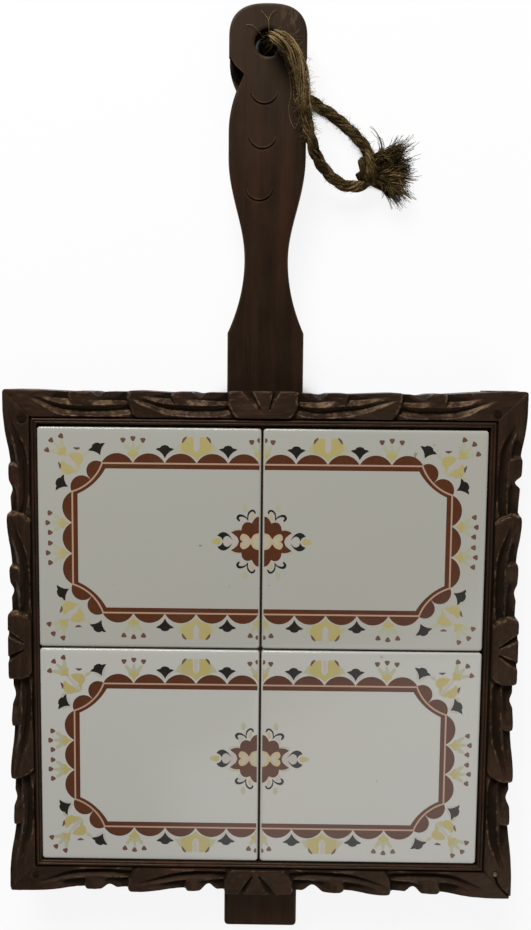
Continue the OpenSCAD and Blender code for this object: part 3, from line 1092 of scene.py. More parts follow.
@dataclass
class RopeLoop:
    """The hanging loop: two strands from the hole, the knot that ties them, and the frayed end past it."""

    diameter: float = 6.0
    front: tuple = (
        (-1.5, 212.5, 15), (-1.2, 212.3, 18), (-0.1, 211.8, 21), (2.1, 210.8, 24), (5.3, 209.2, 26.1),
        (9, 207, 27), (12.2, 203.8, 26.6), (14.4, 199.6, 25.2), (15.9, 195, 23.6), (17.1, 190, 22.3),
        (18, 185, 21.6), (18.6, 180, 21.4), (19.2, 175, 21.4), (20, 170, 21.3), (21.5, 165.4, 20.2),
        (23, 161.4, 17.8), (25.2, 157.8, 15.2), (28, 154.4, 12.6), (31.4, 151.4, 10.4),
        (35.4, 148.6, 8.8), (39.8, 147.2, 7.8), (44.2, 147.2, 7.2), (48.2, 148.6, 7), (51.2, 151, 6.8))
    back: tuple = (
        (-1.5, 212.5, 15), (-1.2, 212.2, 12), (-0.4, 211.2, 8.9), (1.4, 209.1, 5.8), (3.7, 206.4, 4),
        (6.7, 202.8, 3.2), (10, 199.2, 3.1), (13.2, 195.8, 3.1), (16.4, 192.8, 3.1), (19.8, 190, 3.1),
        (23.3, 187.6, 3.1), (27, 185.2, 3.1), (31, 182.8, 3.1), (34.8, 180.1, 3.1), (38.6, 177, 3.1),
        (42.2, 173.7, 3.2), (45.3, 170.5, 3.8), (47.8, 167.3, 4.6), (49.7, 164.1, 5.5), (50.7, 161.2, 6))
    knot_at: Point3 = (51, 156.3, 6.5)
    knot_slip: Point3 = (-1.2, -1.1, 0.1)
    brush_clumps: int = 118
    clump_fibres: int = 9
    brush_strays: int = 130
    tuft_strays: int = 44
    wisps: tuple = (
        ((1.2, 213.6, 17.6), (0.9, 217, 19.2), (0.6, 220.6, 19), (-0.9, 223, 18.6), (-2.8, 225.2, 18.3)),
        ((0.7, 218.6, 19.3), (1.0, 221.6, 19.2), (2.2, 224, 18.8), (4.4, 225.4, 18.4)),
        ((-1.8, 213.4, 17.2), (-4.2, 216, 18.8), (-7, 218.4, 18.9), (-9.8, 218.7, 18.3)),
        ((11, 213.2, 22.6), (13.4, 214.2, 20.6), (15.2, 216.8, 18.6)),
        ((10.8, 213.8, 22), (13.2, 213, 20.4), (16.2, 213.6, 18.4)),
        ((7.8, 203.4, 23.5), (9.8, 198, 20.4), (11.2, 193, 18.7), (11.6, 187, 18.4), (10.6, 181, 18.4),
         (11.3, 175.6, 18.4), (13.7, 171.2, 18.4), (14.6, 173.6, 18.8), (17.2, 178.4, 20.2)),
        ((9, 205.2, 24), (10.4, 198.6, 20.2), (12.8, 191.6, 19.6), (12.9, 185.4, 19), (15.4, 181.4, 20)))

    def build(self, jute: Material) -> None:
        """Args:
            jute: the finish of every piece.
        """
        front = LaidRope(Route(self.front), self.diameter, open_until=40.0, seed=11,
                         nudge=(2.3, 0.7, 0.0), out_of_hole_shade=(5.0, 9.5), paler_start=0.5)
        back = LaidRope(Route(self.back), self.diameter, open_until=10.0, open_fade=10.0, open_spread=3.0,
                        seed=12, tone=-0.08, out_of_hole_shade=(12.0, 26.0))
        knot = self._knot()
        brush = self._brush()
        fuzz = self._fuzz(front, back)
        place(knot, Body.ROPE, Slot.ROPE, jute, "rope_knot")
        place(brush, Body.ROPE, Slot.ROPE, jute, "rope_frayed_end")
        place(fuzz, Body.ROPE, Slot.ROPE, jute)
        for name, rope in (("rope_front_strand", front), ("rope_back_strand", back)):
            bundle = Bundle()
            rope.fill(bundle)
            strand = bundle.piece(name.replace("_strand", "_laid"))
            place(strand, Body.ROPE, Slot.ROPE, jute, name)
            route = rope.route
            route.places[0] * MM
            self.diameter * MM
            route.places[::3] * MM

    def _knot(self) -> Piece:
        """The knot: the ends' own turns round both strands.

        Returns:
            The piece.
        """
        x, y, z = np.add(self.knot_at, self.knot_slip)
        turns = np.linspace(-0.15, 1.62, 30)
        angle = 2 * math.pi * turns + 0.5 * math.pi
        wrap = np.stack([x - 2.2 + 2.8 * turns, y + 5.0 * np.cos(angle), z + 3.2 * np.sin(angle) + 0.1],
                        axis=1)
        cross = ((x - 2.5, y + 4.2, z - 0.6), (x - 0.8, y + 3.6, z + 1.8), (x + 1.6, y + 1.4, z + 2.6),
                 (x + 3.4, y - 1.6, z + 1.4), (x + 4.6, y - 2.6, z - 1))
        under = ((x - 5, y - 3.4, z - 0.4), (x - 1, y - 1.6, z - 0.8), (x + 5, y - 0.6, z - 1.6))
        bundle = Bundle()
        LaidRope(Route(wrap), 5.4, lay=30, seed=21, tone=-0.2).fill(bundle)
        LaidRope(Route(cross), 5.0, lay=30, seed=22, start_angle=1.3, tone=-0.2).fill(bundle)
        LaidRope(Route(under), 4.6, seed=23, tone=-0.3).fill(bundle)
        return bundle.piece("rope_knot_turns")

    def _brush(self) -> Piece:
        """The frayed end: clumps of fibres that fan out past the knot, and single fibres between them.

        Returns:
            The piece.
        """
        x, y, z = self.knot_at
        fibres = Fibres(31, floor=0.35)
        draw = fibres.draw
        bundle = Bundle()
        for _ in range(self.brush_clumps):
            root = np.array([x + 0.6, y - 0.6 + draw.uniform(-6.8, 6.2), z - 1.4 + draw.uniform(-2.4, 2.2)])
            fan = float(np.clip(draw.normal(0.07, 0.13) + (root[1] - y) * 0.03, -0.3, 0.45))
            dip = draw.uniform(-0.28, 0.1)
            length = draw.uniform(15, 28) * (1 - 0.022 * abs(root[1] - y))
            heading = np.array([math.cos(fan), math.sin(fan), dip])
            middle = fibres.curl(root, heading, length, 0.8, 9)
            tone = draw.uniform(-0.1, 0.5)
            for _ in range(self.clump_fibres):
                spread = np.linspace(0.15, 1.0, len(middle))[:, None]
                waves = np.cumsum(draw.normal(0, 0.2, middle.shape), axis=0)
                line = middle + draw.normal(0, 0.7, 3) * spread + waves
                line = line[: draw.integers(6, 10)]
                line[:, 2] = np.clip(line[:, 2], 0.3, 9.6)
                own_tone = float(np.clip(tone + draw.normal(0, 0.2), 0, 1))
                bundle.add(line, np.linspace(0.2, 0.1, len(line)), 3, own_tone)
        for number in range(self.brush_strays):
            tuft = number < self.tuft_strays
            root = draw.uniform((1, -7, -2), (15, 6.5, 2)) + self.knot_at
            fan = draw.uniform(-0.5, 0.6)
            if tuft:
                root = draw.uniform((5, 3.5, -1), (9, 6, 1.5)) + self.knot_at
                fan = draw.normal(0.8, 0.1)
            heading = np.array([math.cos(fan), math.sin(fan), draw.uniform(-0.3, 0.4)])
            line = fibres.curl(root, heading, draw.uniform(4, 8) + 5 * tuft, 1.0 - 0.6 * tuft, 8)
            line[:, 2] = np.clip(line[:, 2], 0.3, 11)
            bundle.add(line, np.linspace(0.14, 0.08, len(line)), 3, draw.uniform(0.2, 0.7))
        return bundle.piece("rope_brush")

    def _fuzz(self, front: LaidRope, back: LaidRope) -> Piece:
        """Stray fibres along both strands, and the long wisps beside the hole.

        Args:
            front, back: the strands.

        Returns:
            The piece.
        """
        bundle = Bundle()
        fibres = Fibres(41)
        fibres.fuzz(bundle, front, 300, 8, 58, (2.5, 7))
        fibres.fuzz(bundle, front, 620, 18, 62, (1.5, 4.5))
        fibres.fuzz(bundle, front, 300, 48, front.route.length, (1.0, 3))
        fibres.fuzz(bundle, back, 620, 16, back.route.length, (1.0, 4))
        for points in self.wisps:
            fibres.wisp(bundle, points)
        return bundle.piece("rope_stray_fibres")


def blurred(values: Array, cells: Sequence[float]) -> Array:
    """A grid of heights blurred by a number of cells along each axis.

    Args:
        values: the grid.
        cells: how far it is blurred along each axis, in cells.

    Returns:
        The blurred grid.
    """
    out = values
    for axis, size in enumerate(cells):
        reach = int(3 * size) + 1
        kernel = np.exp(-0.5 * (np.arange(-reach, reach + 1) / size) ** 2)
        padded = np.pad(out, [(reach, reach) if k == axis else (0, 0) for k in (0, 1)], mode="edge")
        out = np.apply_along_axis(np.convolve, axis, padded, kernel / kernel.sum(), "valid")
    return out


@dataclass(frozen=True)
class Leaf:
    """One overlapped leaf of the carving, along its length in millimetres from its start.

    Two ridges run along it, with a hollowed vein between them and a pocket outside the second one. Across
    the rail they all sweep to the outer edge, where the leaf's tip lies over the next leaf.
    """

    start: float
    finish: float
    base: float
    lobe: Point2
    fall: float
    along: tuple = (0, 5, 10, 20, 29, 34, 39, 44, 47, 50)
    ridge_w: tuple = (5.6, 4.5, 3.8, 3.7, 4.4, 5.4, 7.3, 9.3, 10.6, 11.5)
    vein_w: tuple = (7.2, 6.4, 5.9, 5.9, 6.7, 7.8, 9.4, 10.8, 11.7, 12.3)
    second_w: tuple = (8.9, 8.6, 8.2, 8.3, 9.0, 9.9, 11.1, 12.1, 12.6, 12.9)
    pocket_w: tuple = (10.4, 10.4, 10.5, 11.3, 11.4, 11.9, 12.8, 13.6, 14.0, 14.3)
    ridge_z: tuple = (-0.7, -0.5, -0.2, -0.1, 0, 0, 0, 0, 0, 0)
    vein_z: tuple = (-2.5, -2.9, -3.0, -3.0, -2.8, -2.3, -1.5, -0.8, -0.3, -0.05)
    second_z: tuple = (-0.7, -0.6, -0.5, -0.5, -0.5, -0.4, -0.25, -0.15, -0.05, 0)
    lobe_w: tuple = (7, 9, 11, 13, 14.5, 15.5)
    lobe_lag: tuple = (2.5, 1.2, 0.3, 0, 0.3, 1.0)
    tuck: float = 1.0
    tuck_end: float = 11.0
    near_at: tuple = (0, 10, 15, 19, 22, 25)
    near_pocket: tuple = (-3.1, -3.1, -2.6, -1.0, -0.4, -0.5)
    near_rim: tuple = (-1.4, -1.4, -1.2, -0.7, -0.4, -0.5)
    far_at: tuple = (25, 30, 34, 38, 42, 46)
    far_pocket: tuple = (-3.3, -3.2, -2.6, -1.2, -0.3, 0)
    far_rim: tuple = (-2.4, -2.2, -1.6, -0.7, -0.2, 0)
    fade: float = 1.25
    band: float = 3.4
    edge: float = 15.5

    def depth(self, gone: Array, w: Array, start: Array, finish: Array) -> Array:
        """How far the leaf's surface lies below the top of the rail.

        Args:
            gone: the distance from the rail's middle.
            w: the distance outwards from the opening.
            start, finish: where the leaf starts and ends, at that distance outwards.

        Returns:
            A height of zero or less per place.
        """
        a = np.clip((gone - start) / (finish - start), 0, 1) * self.along[-1]
        at = {name: np.interp(a, self.along, getattr(self, name)) for name in
              ("ridge_w", "vein_w", "second_w", "pocket_w", "ridge_z", "vein_z", "second_z")}
        lagged = a + np.interp(w, self.lobe_w, self.lobe_lag)
        lobe_a = np.interp(lagged, (0, self.lobe[0] * 50, self.lobe[1] * 50, 50), (0, 19, 25, 50))
        past = np.clip((lobe_a - 25) / self.fade, 0, 1)
        pocket = np.interp(lobe_a, self.near_at, self.near_pocket) * (1 - past)
        pocket += np.interp(lobe_a, self.far_at, self.far_pocket) * past
        rim = np.interp(lobe_a, self.near_at, self.near_rim) * (1 - past)
        rim += np.interp(lobe_a, self.far_at, self.far_rim) * past
        quirk = np.interp(a, (0, 50), (-1.0, self.fall))
        climb = np.clip((w - self.band) / (at["ridge_w"] - self.band + 1e-6), 0, 1) ** 0.7
        inside = quirk + (at["ridge_z"] - quirk) * climb
        first = self._scoop(w, (at["ridge_w"], at["ridge_z"]), (at["vein_w"], at["vein_z"]),
                            (at["second_w"], at["second_z"]))
        outer = self._scoop(w, (at["second_w"], at["second_z"]), (at["pocket_w"], pocket), (self.edge, rim))
        out = np.where(w < at["ridge_w"], inside, np.where(w < at["second_w"], first, outer))
        return self.base + out - self.tuck * (1 - smooth(a, 0, self.tuck_end))

    def lobe_end(self, w: Array, start: Array, finish: Array) -> Array:
        """Where the lobe outside the second ridge ends, as a distance from the rail's middle."""
        at = self.lobe[1] * self.along[-1] - np.interp(w, self.lobe_w, self.lobe_lag)
        return start + at / self.along[-1] * (finish - start)

    @staticmethod
    def _scoop(w: Array, inner: tuple, lowest: tuple, outer: tuple) -> Array:
        """A hollow between two ridges, with its lowest line between them.

        Args:
            w: the distance outwards from the opening.
            inner, lowest, outer: the distance and the height of the first ridge, the hollow and the second.

        Returns:
            The height per place.
        """
        rises = []
        for (edge_w, edge_z), sign in ((inner, 1), (outer, -1)):
            part = np.clip(sign * (lowest[0] - w) / (sign * (lowest[0] - edge_w) + 1e-6), 0, 1)
            rises.append(lowest[1] + (edge_z - lowest[1]) * part ** 1.1)
        return np.where(w < lowest[0], *rises)


@dataclass(frozen=True)
class Half:
    """One half of a rail as it was really cut.

    The steps are the distances from the rail's middle to the ends of the block, the first lobe, the first
    leaf and the second lobe. A scoop out of the outer edge is its distance, its depth and half its width.
    """

    steps: tuple
    scoops: tuple
    # How strongly the step ends are painted pale: rubbed end grain, and painted highlight on halves whose
    # steps face the window lamp.
    pale: float = 0.3
    fade: float = 1.3
    mitre: Point2 = (0.15, 0.3)
    flare: float = 0.0


@dataclass
class Rail:
    """A carved rail. Places on it are x, along it from its middle, and w, outwards from the opening's edge.

    A station s is the place along the opening, which x leaves behind where the rail fans out to its mitre.
    """

    side: Side
    half_open: float
    opening: float
    middle: float
    low: Half
    high: Half
    gouges: tuple
    pegs: tuple
    seed: int
    shift: float = 0.0
    recess_share: float = 1.0
    bow: float = 0.0
    board_half: float = 0.0
    board_at: float = 0.0
    width: float = 15.5
    top: float = 30.0
    shoulder: float = 21.0
    lap: float = 14.0
    notch_top: float = 18.0
    rebate: float = 5.0
    band: float = 3.4
    corner_round: float = 1.6
    straight: float = 95.0
    pitch: float = 0.36
    columns: int = 42
    crowding: float = 0.94
    rim_drop: Point2 = (0.32, 0.5)
    block_fall: Point3 = (0.25, 16.0, 0.4)
    band_groove: Point3 = (0.5, 0.5, 0.6)
    plain_drop: float = 1.2
    plain_from: float = -2.5
    plain_to: float = 1.5
    peg_groove: Point2 = (0.3, 0.5)
    tool_marks: Point2 = (0.09, 0.07)
    pattern: tuple = (0.0, 16.0, 41.2, 66.3, 87.9, 113.5, 200.0)
    recess_at: tuple = (0, 13.5, 15.2, 16.2, 17, 22, 36, 39, 40.8, 42, 48, 60, 63.5, 65.6, 66.6, 67.4, 84,
                        86.2, 87.6, 88.8, 105, 115, 125)
    recess: tuple = (0, 0, 0.2, 0.7, 1.35, 1.4, 1.0, 1.0, 1.25, 1.7, 1.3, 0.3, 0.2, 0.45, 0.9, 1.45, 1.1,
                     1.1, 1.3, 1.6, 0.6, 0.1, 0)
    step_w: tuple = (3.4, 5, 7, 9, 12, 14.5, 15.5)
    block_lag: tuple = (4.2, 2.2, 0.8, 0.1, 0, 0.3, 0.9)
    leaf_lag: tuple = (4.5, 2.6, 1.3, 0.4, 0, 0.3, 1.0)
    low_share: float = 0.6
    cracks: tuple = ()
    crack: Point2 = (1.9, 0.3)
    corner_wear: float = 0.4
    # How pale the slopes that fall outwards are painted: part rub, part painted highlight.
    rub_and_highlight: float = 0.0
    edge_wear: float = 0.85
    # How much darker the slopes that rise outwards are painted, as painted shade.
    painted_slope_shade: float = 0.0
    lip: tuple = ((0, 21), (0, 24.6), (0, 27.9), (0.25, 28.25), (0.65, 28.34), (1.0, 28.24), (1.15, 27.95),
                  (1.3, 28.25), (1.6, 28.48), (1.95, 28.54), (2.3, 28.44), (2.52, 28.15), (2.6, 27.3),
                  (2.72, 26.95), (3.0, 26.85), (3.25, 26.92), (3.38, 27.3))
    lip_worn: tuple = ((0, 3, 4, 6, 8, 9, 11, 12), (0, 0.15, 0.12, 0, 0.12, 0.2, 0.05, 0))
    # The hollow mark along the lip's profile: painted shade in its grooves.
    lip_hollow: tuple = ((5, 6, 7, 11, 13, 16), (0, 0.8, 0, 0.1, 1, 0.9))
    wall_foot: float = 17.0
    leaves: tuple = (Leaf(16.0, 66.3, -0.6, (0.38, 0.5), -0.8),
                     Leaf(66.3, 113.3, -1.2, (0.30, 0.46), -0.15))

    def build(self, finish: Material) -> None:
        """Makes the rail and puts it in its place.

        Args:
            finish: its wood.
        """
        s = self._stations()
        edge = self._edge(s)
        rim = edge - (1 - self.low_share) * self._scoops(s)
        share = np.linspace(0, 1, self.columns) ** self.crowding
        inner = self.band - self.shift
        w = inner + share[None, :] * (rim - inner)[:, None]
        x = self._along(s[:, None], w)
        z = self.height(x, w)
        z -= self.rim_drop[0] * np.exp(-np.abs(rim[:, None] - w) / self.rim_drop[1])
        wear, dark = self._marks(x, w, z)
        name = self.side.name.lower()
        rail = join(f"carved_{name}_rail", self._shell(s, edge, w, z, wear, dark), self._lower())
        turn = Matrix.Rotation(-math.radians(self.side.value), 4, "Z")
        rail.data.transform(Matrix.Translation((0, self.middle * MM, 0)) @ turn
                            @ Matrix.Translation((0, self.opening * MM, 0)))
        place(rail, Body.TRIVET, Slot.CARVED, finish, f"rail_{name}")

    def _marks(self, x: Array, w: Array, z: Array) -> tuple[Array, Array]:
        """Where the carving is painted pale, by rub and painted highlight, and where it is painted dark as
        painted shade.

        Args:
            x, w: the places.
            z: the height.

        Returns:
            The wear mark, part rub and part painted highlight, and the hollow mark of painted shade, per
            place.
        """
        pale_ends = self._pale_ends(x, w)
        wear = self.edge_wear * np.clip((z - blurred(z, (2.2, 2.3)) - 0.035) / 0.2, 0, 1)
        wear = np.maximum(wear, pale_ends)
        corner = smooth(np.abs(x), self.half_open + 9, self.half_open + 15)
        wear = np.maximum(wear, self.corner_wear * corner)
        fall = -np.gradient(z, axis=1) / np.gradient(w, axis=1)
        carved = smooth(w, 3.8, 4.6) * (1 - smooth(w, 11.5, 13))
        facing = smooth(blurred(fall, (1.5, 1.5)), 0.05, 0.45) * carved
        inward = smooth(blurred(-fall, (1.5, 1.5)), 0.05, 0.5) * carved
        # Slopes that fall outwards are painted pale: part rub, and part painted highlight, as on the top
        # rail they face the window lamp.
        wear = np.maximum(wear, self.rub_and_highlight * facing)
        # The hollow mark is painted shade: dark where the carving lies below its surroundings.
        dark = np.clip((blurred(z, (9.0, 8.0)) - z - 0.12) / 0.75, 0, 1)
        # The painted shade is taken off the same slopes.
        dark = dark * (1 - min(1.3 * self.rub_and_highlight, 1) * facing)
        # Slopes that rise outwards are painted darker as painted shade; on the bottom rail they face the
        # window lamp.
        dark = np.maximum(dark, self.painted_slope_shade * inward)
        return wear, dark * (1 - np.minimum(pale_ends, 1))

    def _stations(self) -> Array:
        """The places along the rail, with a pair at each side of the board's notch.

        Returns:
            The stations, from the low end to the high end.
        """
        s = np.linspace(-self.half_open, self.half_open, int(2 * self.half_open / self.pitch))
        if self.board_half:
            ends = [self.board_at + side * self.board_half + slip
                    for side in (-1, 1) for slip in (-0.004, 0.004)]
            s = np.sort(np.concatenate([s, ends]))
        return s

    def _along(self, s: Array, w: Array) -> Array:
        """The true distance along the rail, which fans out to the mitre past its straight part.

        Args:
            s, w: the stations, and the distances outwards.

        Returns:
            The distance per place, below zero on the low half.
        """
        spread = (self.half_open + w - 0.05 - self.straight) / (self.half_open - self.straight)
        return np.sign(s) * np.where(np.abs(s) <= self.straight, np.abs(s),
                                     self.straight + (np.abs(s) - self.straight) * spread)

    def _counted(self, x: Array) -> Array:
        """The distance from the middle as the pattern counts it, from the true distance.

        Args:
            x: the distances along the rail.

        Returns:
            The counted distance per place.
        """
        corner = self.half_open + 3.5
        low, high = (np.interp(np.abs(x), (0, *half.steps, corner, self.pattern[-1]), self.pattern)
                     for half in (self.low, self.high))
        return np.where(x < 0, low, high)

    def _scoops(self, x: Array) -> Array:
        """How deep the outer edge is scooped at true distances along the rail.

        Args:
            x: the distances along the rail.

        Returns:
            The depth per place.
        """
        cut = np.zeros_like(x)
        for sign, half in ((-1, self.low), (1, self.high)):
            for spot, depth, reach in half.scoops:
                t = np.clip(np.abs(x - sign * spot) / reach, 0, 1)
                cut = cut + depth * 0.5 * (1 + np.cos(math.pi * t))
        return cut

    def _line(self, x: Array) -> Array:
        """The outer edge at true distances along the rail, stepped by the leaves, bowed and scooped.

        Args:
            x: the distances along the rail.

        Returns:
            The distance outwards per place.
        """
        recess = self.recess_share * np.interp(self._counted(x), self.recess_at, self.recess)
        bow = self.bow * (1 - smooth(np.abs(x), 85, 118))
        flare = self._own("flare", x) * smooth(np.abs(x), 70, 118)
        return self.width - recess - bow - self.low_share * self._scoops(x) + flare

    def _own(self, name: str, x: Array) -> Array:
        """A value of the half that each place lies on."""
        return np.where(x < 0, getattr(self.low, name), getattr(self.high, name))

    def _edge(self, s: Array) -> Array:
        """The outer edge at each station, which rounds the frame's corner.

        Args:
            s: the stations.

        Returns:
            The distance outwards per station.
        """
        edge = np.full_like(s, self.width)
        r = self.corner_round
        for _ in range(14):
            x = self._along(s, edge)
            past = np.maximum(np.abs(x) - self.half_open - self.width - self._own("flare", x) + r, 0)
            edge = 0.5 * (edge + self._line(x) - r + np.sqrt(np.maximum(r ** 2 - past ** 2, 0)))
        return edge

    def height(self, x: Array, w: Array) -> Array:
        """The height of the carving.

        Args:
            x, w: the places.

        Returns:
            The height per place.
        """
        wander = Noise(self.seed)
        first, second = self.leaves
        gone, across, block_end, tip = self._ends(x, w)
        fade = self._own("fade", x)
        fall, reach, most = self.block_fall
        deep, wide, plain_wide = self.band_groove
        off = np.abs(across - self.band)
        z = np.maximum(-fall * (x / reach) ** 2, -most) - deep * np.exp(-off / wide)
        leaf = first.depth(gone, across, block_end, tip)
        z = z + (leaf - z) * smooth(gone, block_end, block_end + fade)
        corner = second.finish
        leaf = second.depth(gone, across, tip, np.full_like(tip, corner))
        z = z + (leaf - z) * smooth(gone, tip, tip + fade)
        plain = -self.plain_drop - deep * np.exp(-off / plain_wide)
        z = z + (plain - z) * smooth(gone, corner + self.plain_from, corner + self.plain_to)
        for gouge in self.gouges:
            z = z + self._gouge(x, w, *gouge)
        for spot in self.pegs:
            r = np.hypot(x - spot[0], w - spot[1])
            z = z - self.peg_groove[0] * np.exp(-((r - spot[2] / 2) / self.peg_groove[1]) ** 2)
        z = z + self._mitres(x, w, wander) - self._crack(x, w)
        small, large = self.tool_marks
        z = z + small * wander.at(x + 50, w, 1.9, 1.3) + large * wander.at(x, w + 80, 4.5, 2.4)
        return self.top + z

    def _ends(self, x: Array, w: Array) -> tuple[Array, ...]:
        """The steps at each place.

        Args:
            x, w: the places.

        Returns:
            The distance from the middle as the pattern counts it, the distance outwards on the carved band,
            and where the block and the first leaf end.
        """
        wander = Noise(self.seed)
        gone = self._counted(x) + 0.5 * wander.at(x, w, 13, 9)
        across = w + self.shift * np.clip((8 - w) / (8 - self.band), 0, 1)
        ripple = 0.3 * wander.at(x + 400, w, 11, 30) * smooth(across, self.band, self.band + 1.5)
        across = across + ripple * (1 - smooth(w, 14, 15))
        first = self.leaves[0]
        block_end = first.start - np.interp(across, self.step_w, self.block_lag)
        tip = first.finish - np.interp(across, self.step_w, self.leaf_lag)
        return gone, across, block_end, tip

    def _pale_ends(self, x: Array, w: Array) -> Array:
        """How pale each place is painted where a block, a leaf or a lobe ends: rubbed end grain, and a
        painted highlight that is stronger on the halves whose steps face the window lamp.

        Args:
            x, w: the places.

        Returns:
            The share of pale end grain and painted highlight per place.
        """
        gone, across, block_end, tip = self._ends(x, w)
        first, second = self.leaves
        far = np.full_like(tip, second.finish)
        fade = self._own("fade", x)
        shown = np.zeros_like(gone)
        lobed = smooth(across, 8.5, 10)
        for end, part in ((block_end, 1.0), (tip, 1.0), (first.lobe_end(across, block_end, tip), lobed),
                          (second.lobe_end(across, tip, far), lobed)):
            t = (gone - end) / fade
            shown = np.maximum(shown, part * smooth(t, -0.1, 0.2) * (1 - smooth(t, 0.75, 1.15)))
        # The half's pale value scales it: larger on the halves whose steps face the window lamp, as painted
        # highlight.
        return shown * self._own("pale", x)

    def _mitres(self, x: Array, w: Array, wander: Noise) -> Array:
        """The groove along the mitre joint at each end, and the rub beside it.

        Args:
            x, w: the places.
            wander: the noise that the wood's unevenness is read from.

        Returns:
            A height of zero or less per place.
        """
        off = (self.half_open + w - np.abs(x)) / math.sqrt(2)
        out = -0.15 * smooth(-off, -3, 0)
        for sign, half in ((-1, self.low), (1, self.high)):
            depth, wide = half.mitre
            wide = wide * (1 + 0.5 * wander.at(w + 7, 3.0, 2.3, 1))
            out = out - (np.sign(x) == sign) * depth * np.exp(-(np.maximum(off, 0) / wide) ** 2)
        return out

    def _crack(self, x: Array, w: Array) -> Array:
        """How deep each place lies in the crack that runs from the nail to the corner.

        Args:
            x, w: the places.

        Returns:
            The depth per place.
        """
        depth, wide = self.crack
        out = np.zeros(np.broadcast(x, w).shape)
        for a, b in zip(self.cracks, self.cracks[1:]):
            run = np.subtract(b, a)
            t = np.clip(((x - a[0]) * run[0] + (w - a[1]) * run[1]) / run.dot(run), 0, 1)
            off = np.hypot(x - a[0] - t * run[0], w - a[1] - t * run[1])
            out = np.maximum(out, depth * np.exp(-(off / wide) ** 2))
        return out

    @staticmethod
    def _gouge(x: Array, w: Array, start: Point2, end: Point2, wide: float, depth: float) -> Array:
        """A tapered gouge from a point out to the edge.

        Args:
            x, w: the places.
            start, end: the gouge's ends.
            wide, depth: its width and depth at the edge.

        Returns:
            A height of zero or less per place.
        """
        run = np.subtract(end, start)
        t = ((x - start[0]) * run[0] + (w - start[1]) * run[1]) / run.dot(run)
        off = np.abs((x - start[0]) * run[1] - (w - start[1]) * run[0]) / np.linalg.norm(run)
        half = 0.3 + (wide / 2 - 0.3) * np.clip(t, 0, 1)
        cut = np.clip(1 - (off / half) ** 2, 0, 1)
        return -depth * (0.45 + 0.55 * np.clip(t, 0, 1)) * cut * smooth(t, -0.06, 0.1)

    def _shell(self, s: Array, edge: Array, w: Array, z: Array, wear: Array, dark: Array) -> Piece:
        """The upper part of the rail, closed all round.

        Args:
            s: the stations.
            edge: the outer edge at each station.
            w, z: the places outwards and the heights of the carving.
            wear, dark: its wear mark, part rub and part painted highlight, and its hollow mark of painted
                shade.

        Returns:
            The piece.
        """
        count = len(s)
        wander = Noise(self.seed + 1)
        lip_w, lip_z = np.array(self.lip).T
        lip = np.arange(lip_w.size)
        lip_w = np.broadcast_to(lip_w - self.shift, (count, lip.size))
        lip_z = lip_z + 0.1 * wander.at(s, 3, 17, 1)[:, None] * np.where(lip_z > 26, 1, 0)[None, :]
        rows = np.linspace(0, 1, 10)[1:]
        floor = np.where(np.abs(s - self.board_at) < self.board_half, self.notch_top, self.lap)
        wall_z = np.maximum(z[:, -1:] + (self.lap - z[:, -1:]) * rows, floor[:, None])
        fall = np.clip((wall_z - self.wall_foot) / (z[:, -1:] - self.wall_foot), 0, 1)
        wobble = 0.08 * wander.at(s[:, None], wall_z, 7, 3) * smooth(wall_z, self.lap, self.lap + 3)
        wall_w = edge[:, None] + (w[:, -1:] - edge[:, None]) * fall ** 1.3 + wobble
        under_w = np.full((count, 2), self.rebate)
        under_z = np.stack([floor, np.full(count, self.shoulder)], axis=1)
        ring_w = np.hstack([lip_w, w, wall_w, under_w])
        ring_z = np.hstack([lip_z, z, wall_z, under_z])
        lip_wear = np.interp(lip, *self.lip_worn) * (0.6 + 0.4 * wander.at(s, 9, 6, 1)[:, None])
        lip_dark = np.broadcast_to(np.interp(lip, *self.lip_hollow), (count, lip.size))
        # The wall is painted dark, as painted shade, where the outer edge is scooped deep.
        scooped = np.repeat(np.clip(self._scoops(s) / 1.5, 0, 1)[:, None], rows.size, axis=1)
        ring_wear = np.hstack([lip_wear, wear, wear[:, -1:] * 0.5, np.zeros((count, rows.size + 1))])
        ring_dark = np.hstack([lip_dark, dark, scooped, np.zeros((count, 2))])
        x = self._along(s[:, None], ring_w)
        points = np.stack([x, ring_w, ring_z], axis=2)
        around = ring_w.shape[1]
        grid = np.arange(count * around).reshape(count, around)
        ahead = np.roll(grid, -1, axis=1)
        faces = np.stack([grid[:-1], grid[1:], ahead[1:], ahead[:-1]], axis=2).reshape(-1, 4).tolist()
        faces += [grid[0].tolist(), grid[-1][::-1].tolist()]
        piece = mesh_piece("shell", points.reshape(-1, 3), faces)
        paint_points(piece, "wear", ring_wear)
        paint_points(piece, "hollow", ring_dark)
        clean(piece, 0.0001)
        shade(piece, 50)
        return piece

    def _lower(self) -> Piece:
        """The lower half of the rail, with its lapped end, and notched for the board where it crosses.

        Returns:
            The piece.
        """
        width = self.width + self.low.flare
        far = self.half_open + width
        r = self.corner_round
        outline = [(-far, 0), (-self.half_open, 0), (-self.half_open, self.rebate)]
        outline.append((self.half_open, self.rebate))
        x = np.linspace(self.half_open, r - far, 190)
        outline += list(zip(x.tolist(), self._line(x).tolist()))
        outline += [(-far + r + r * math.cos(a), width - r + r * math.sin(a))
                    for a in map(math.radians, (112.5, 135, 157.5, 180))]
        lower = prism("lower", outline, 0, self.lap, 0.5)
        if self.board_half:
            low, high = self.board_at - self.board_half, self.board_at + self.board_half
            corners = [(low, -1), (high, -1), (high, self.width + 1), (low, self.width + 1)]
            cut_with(lower, prism("notch", corners, -1, self.lap + 1, 0))
        shade(lower, 30)
        return lower


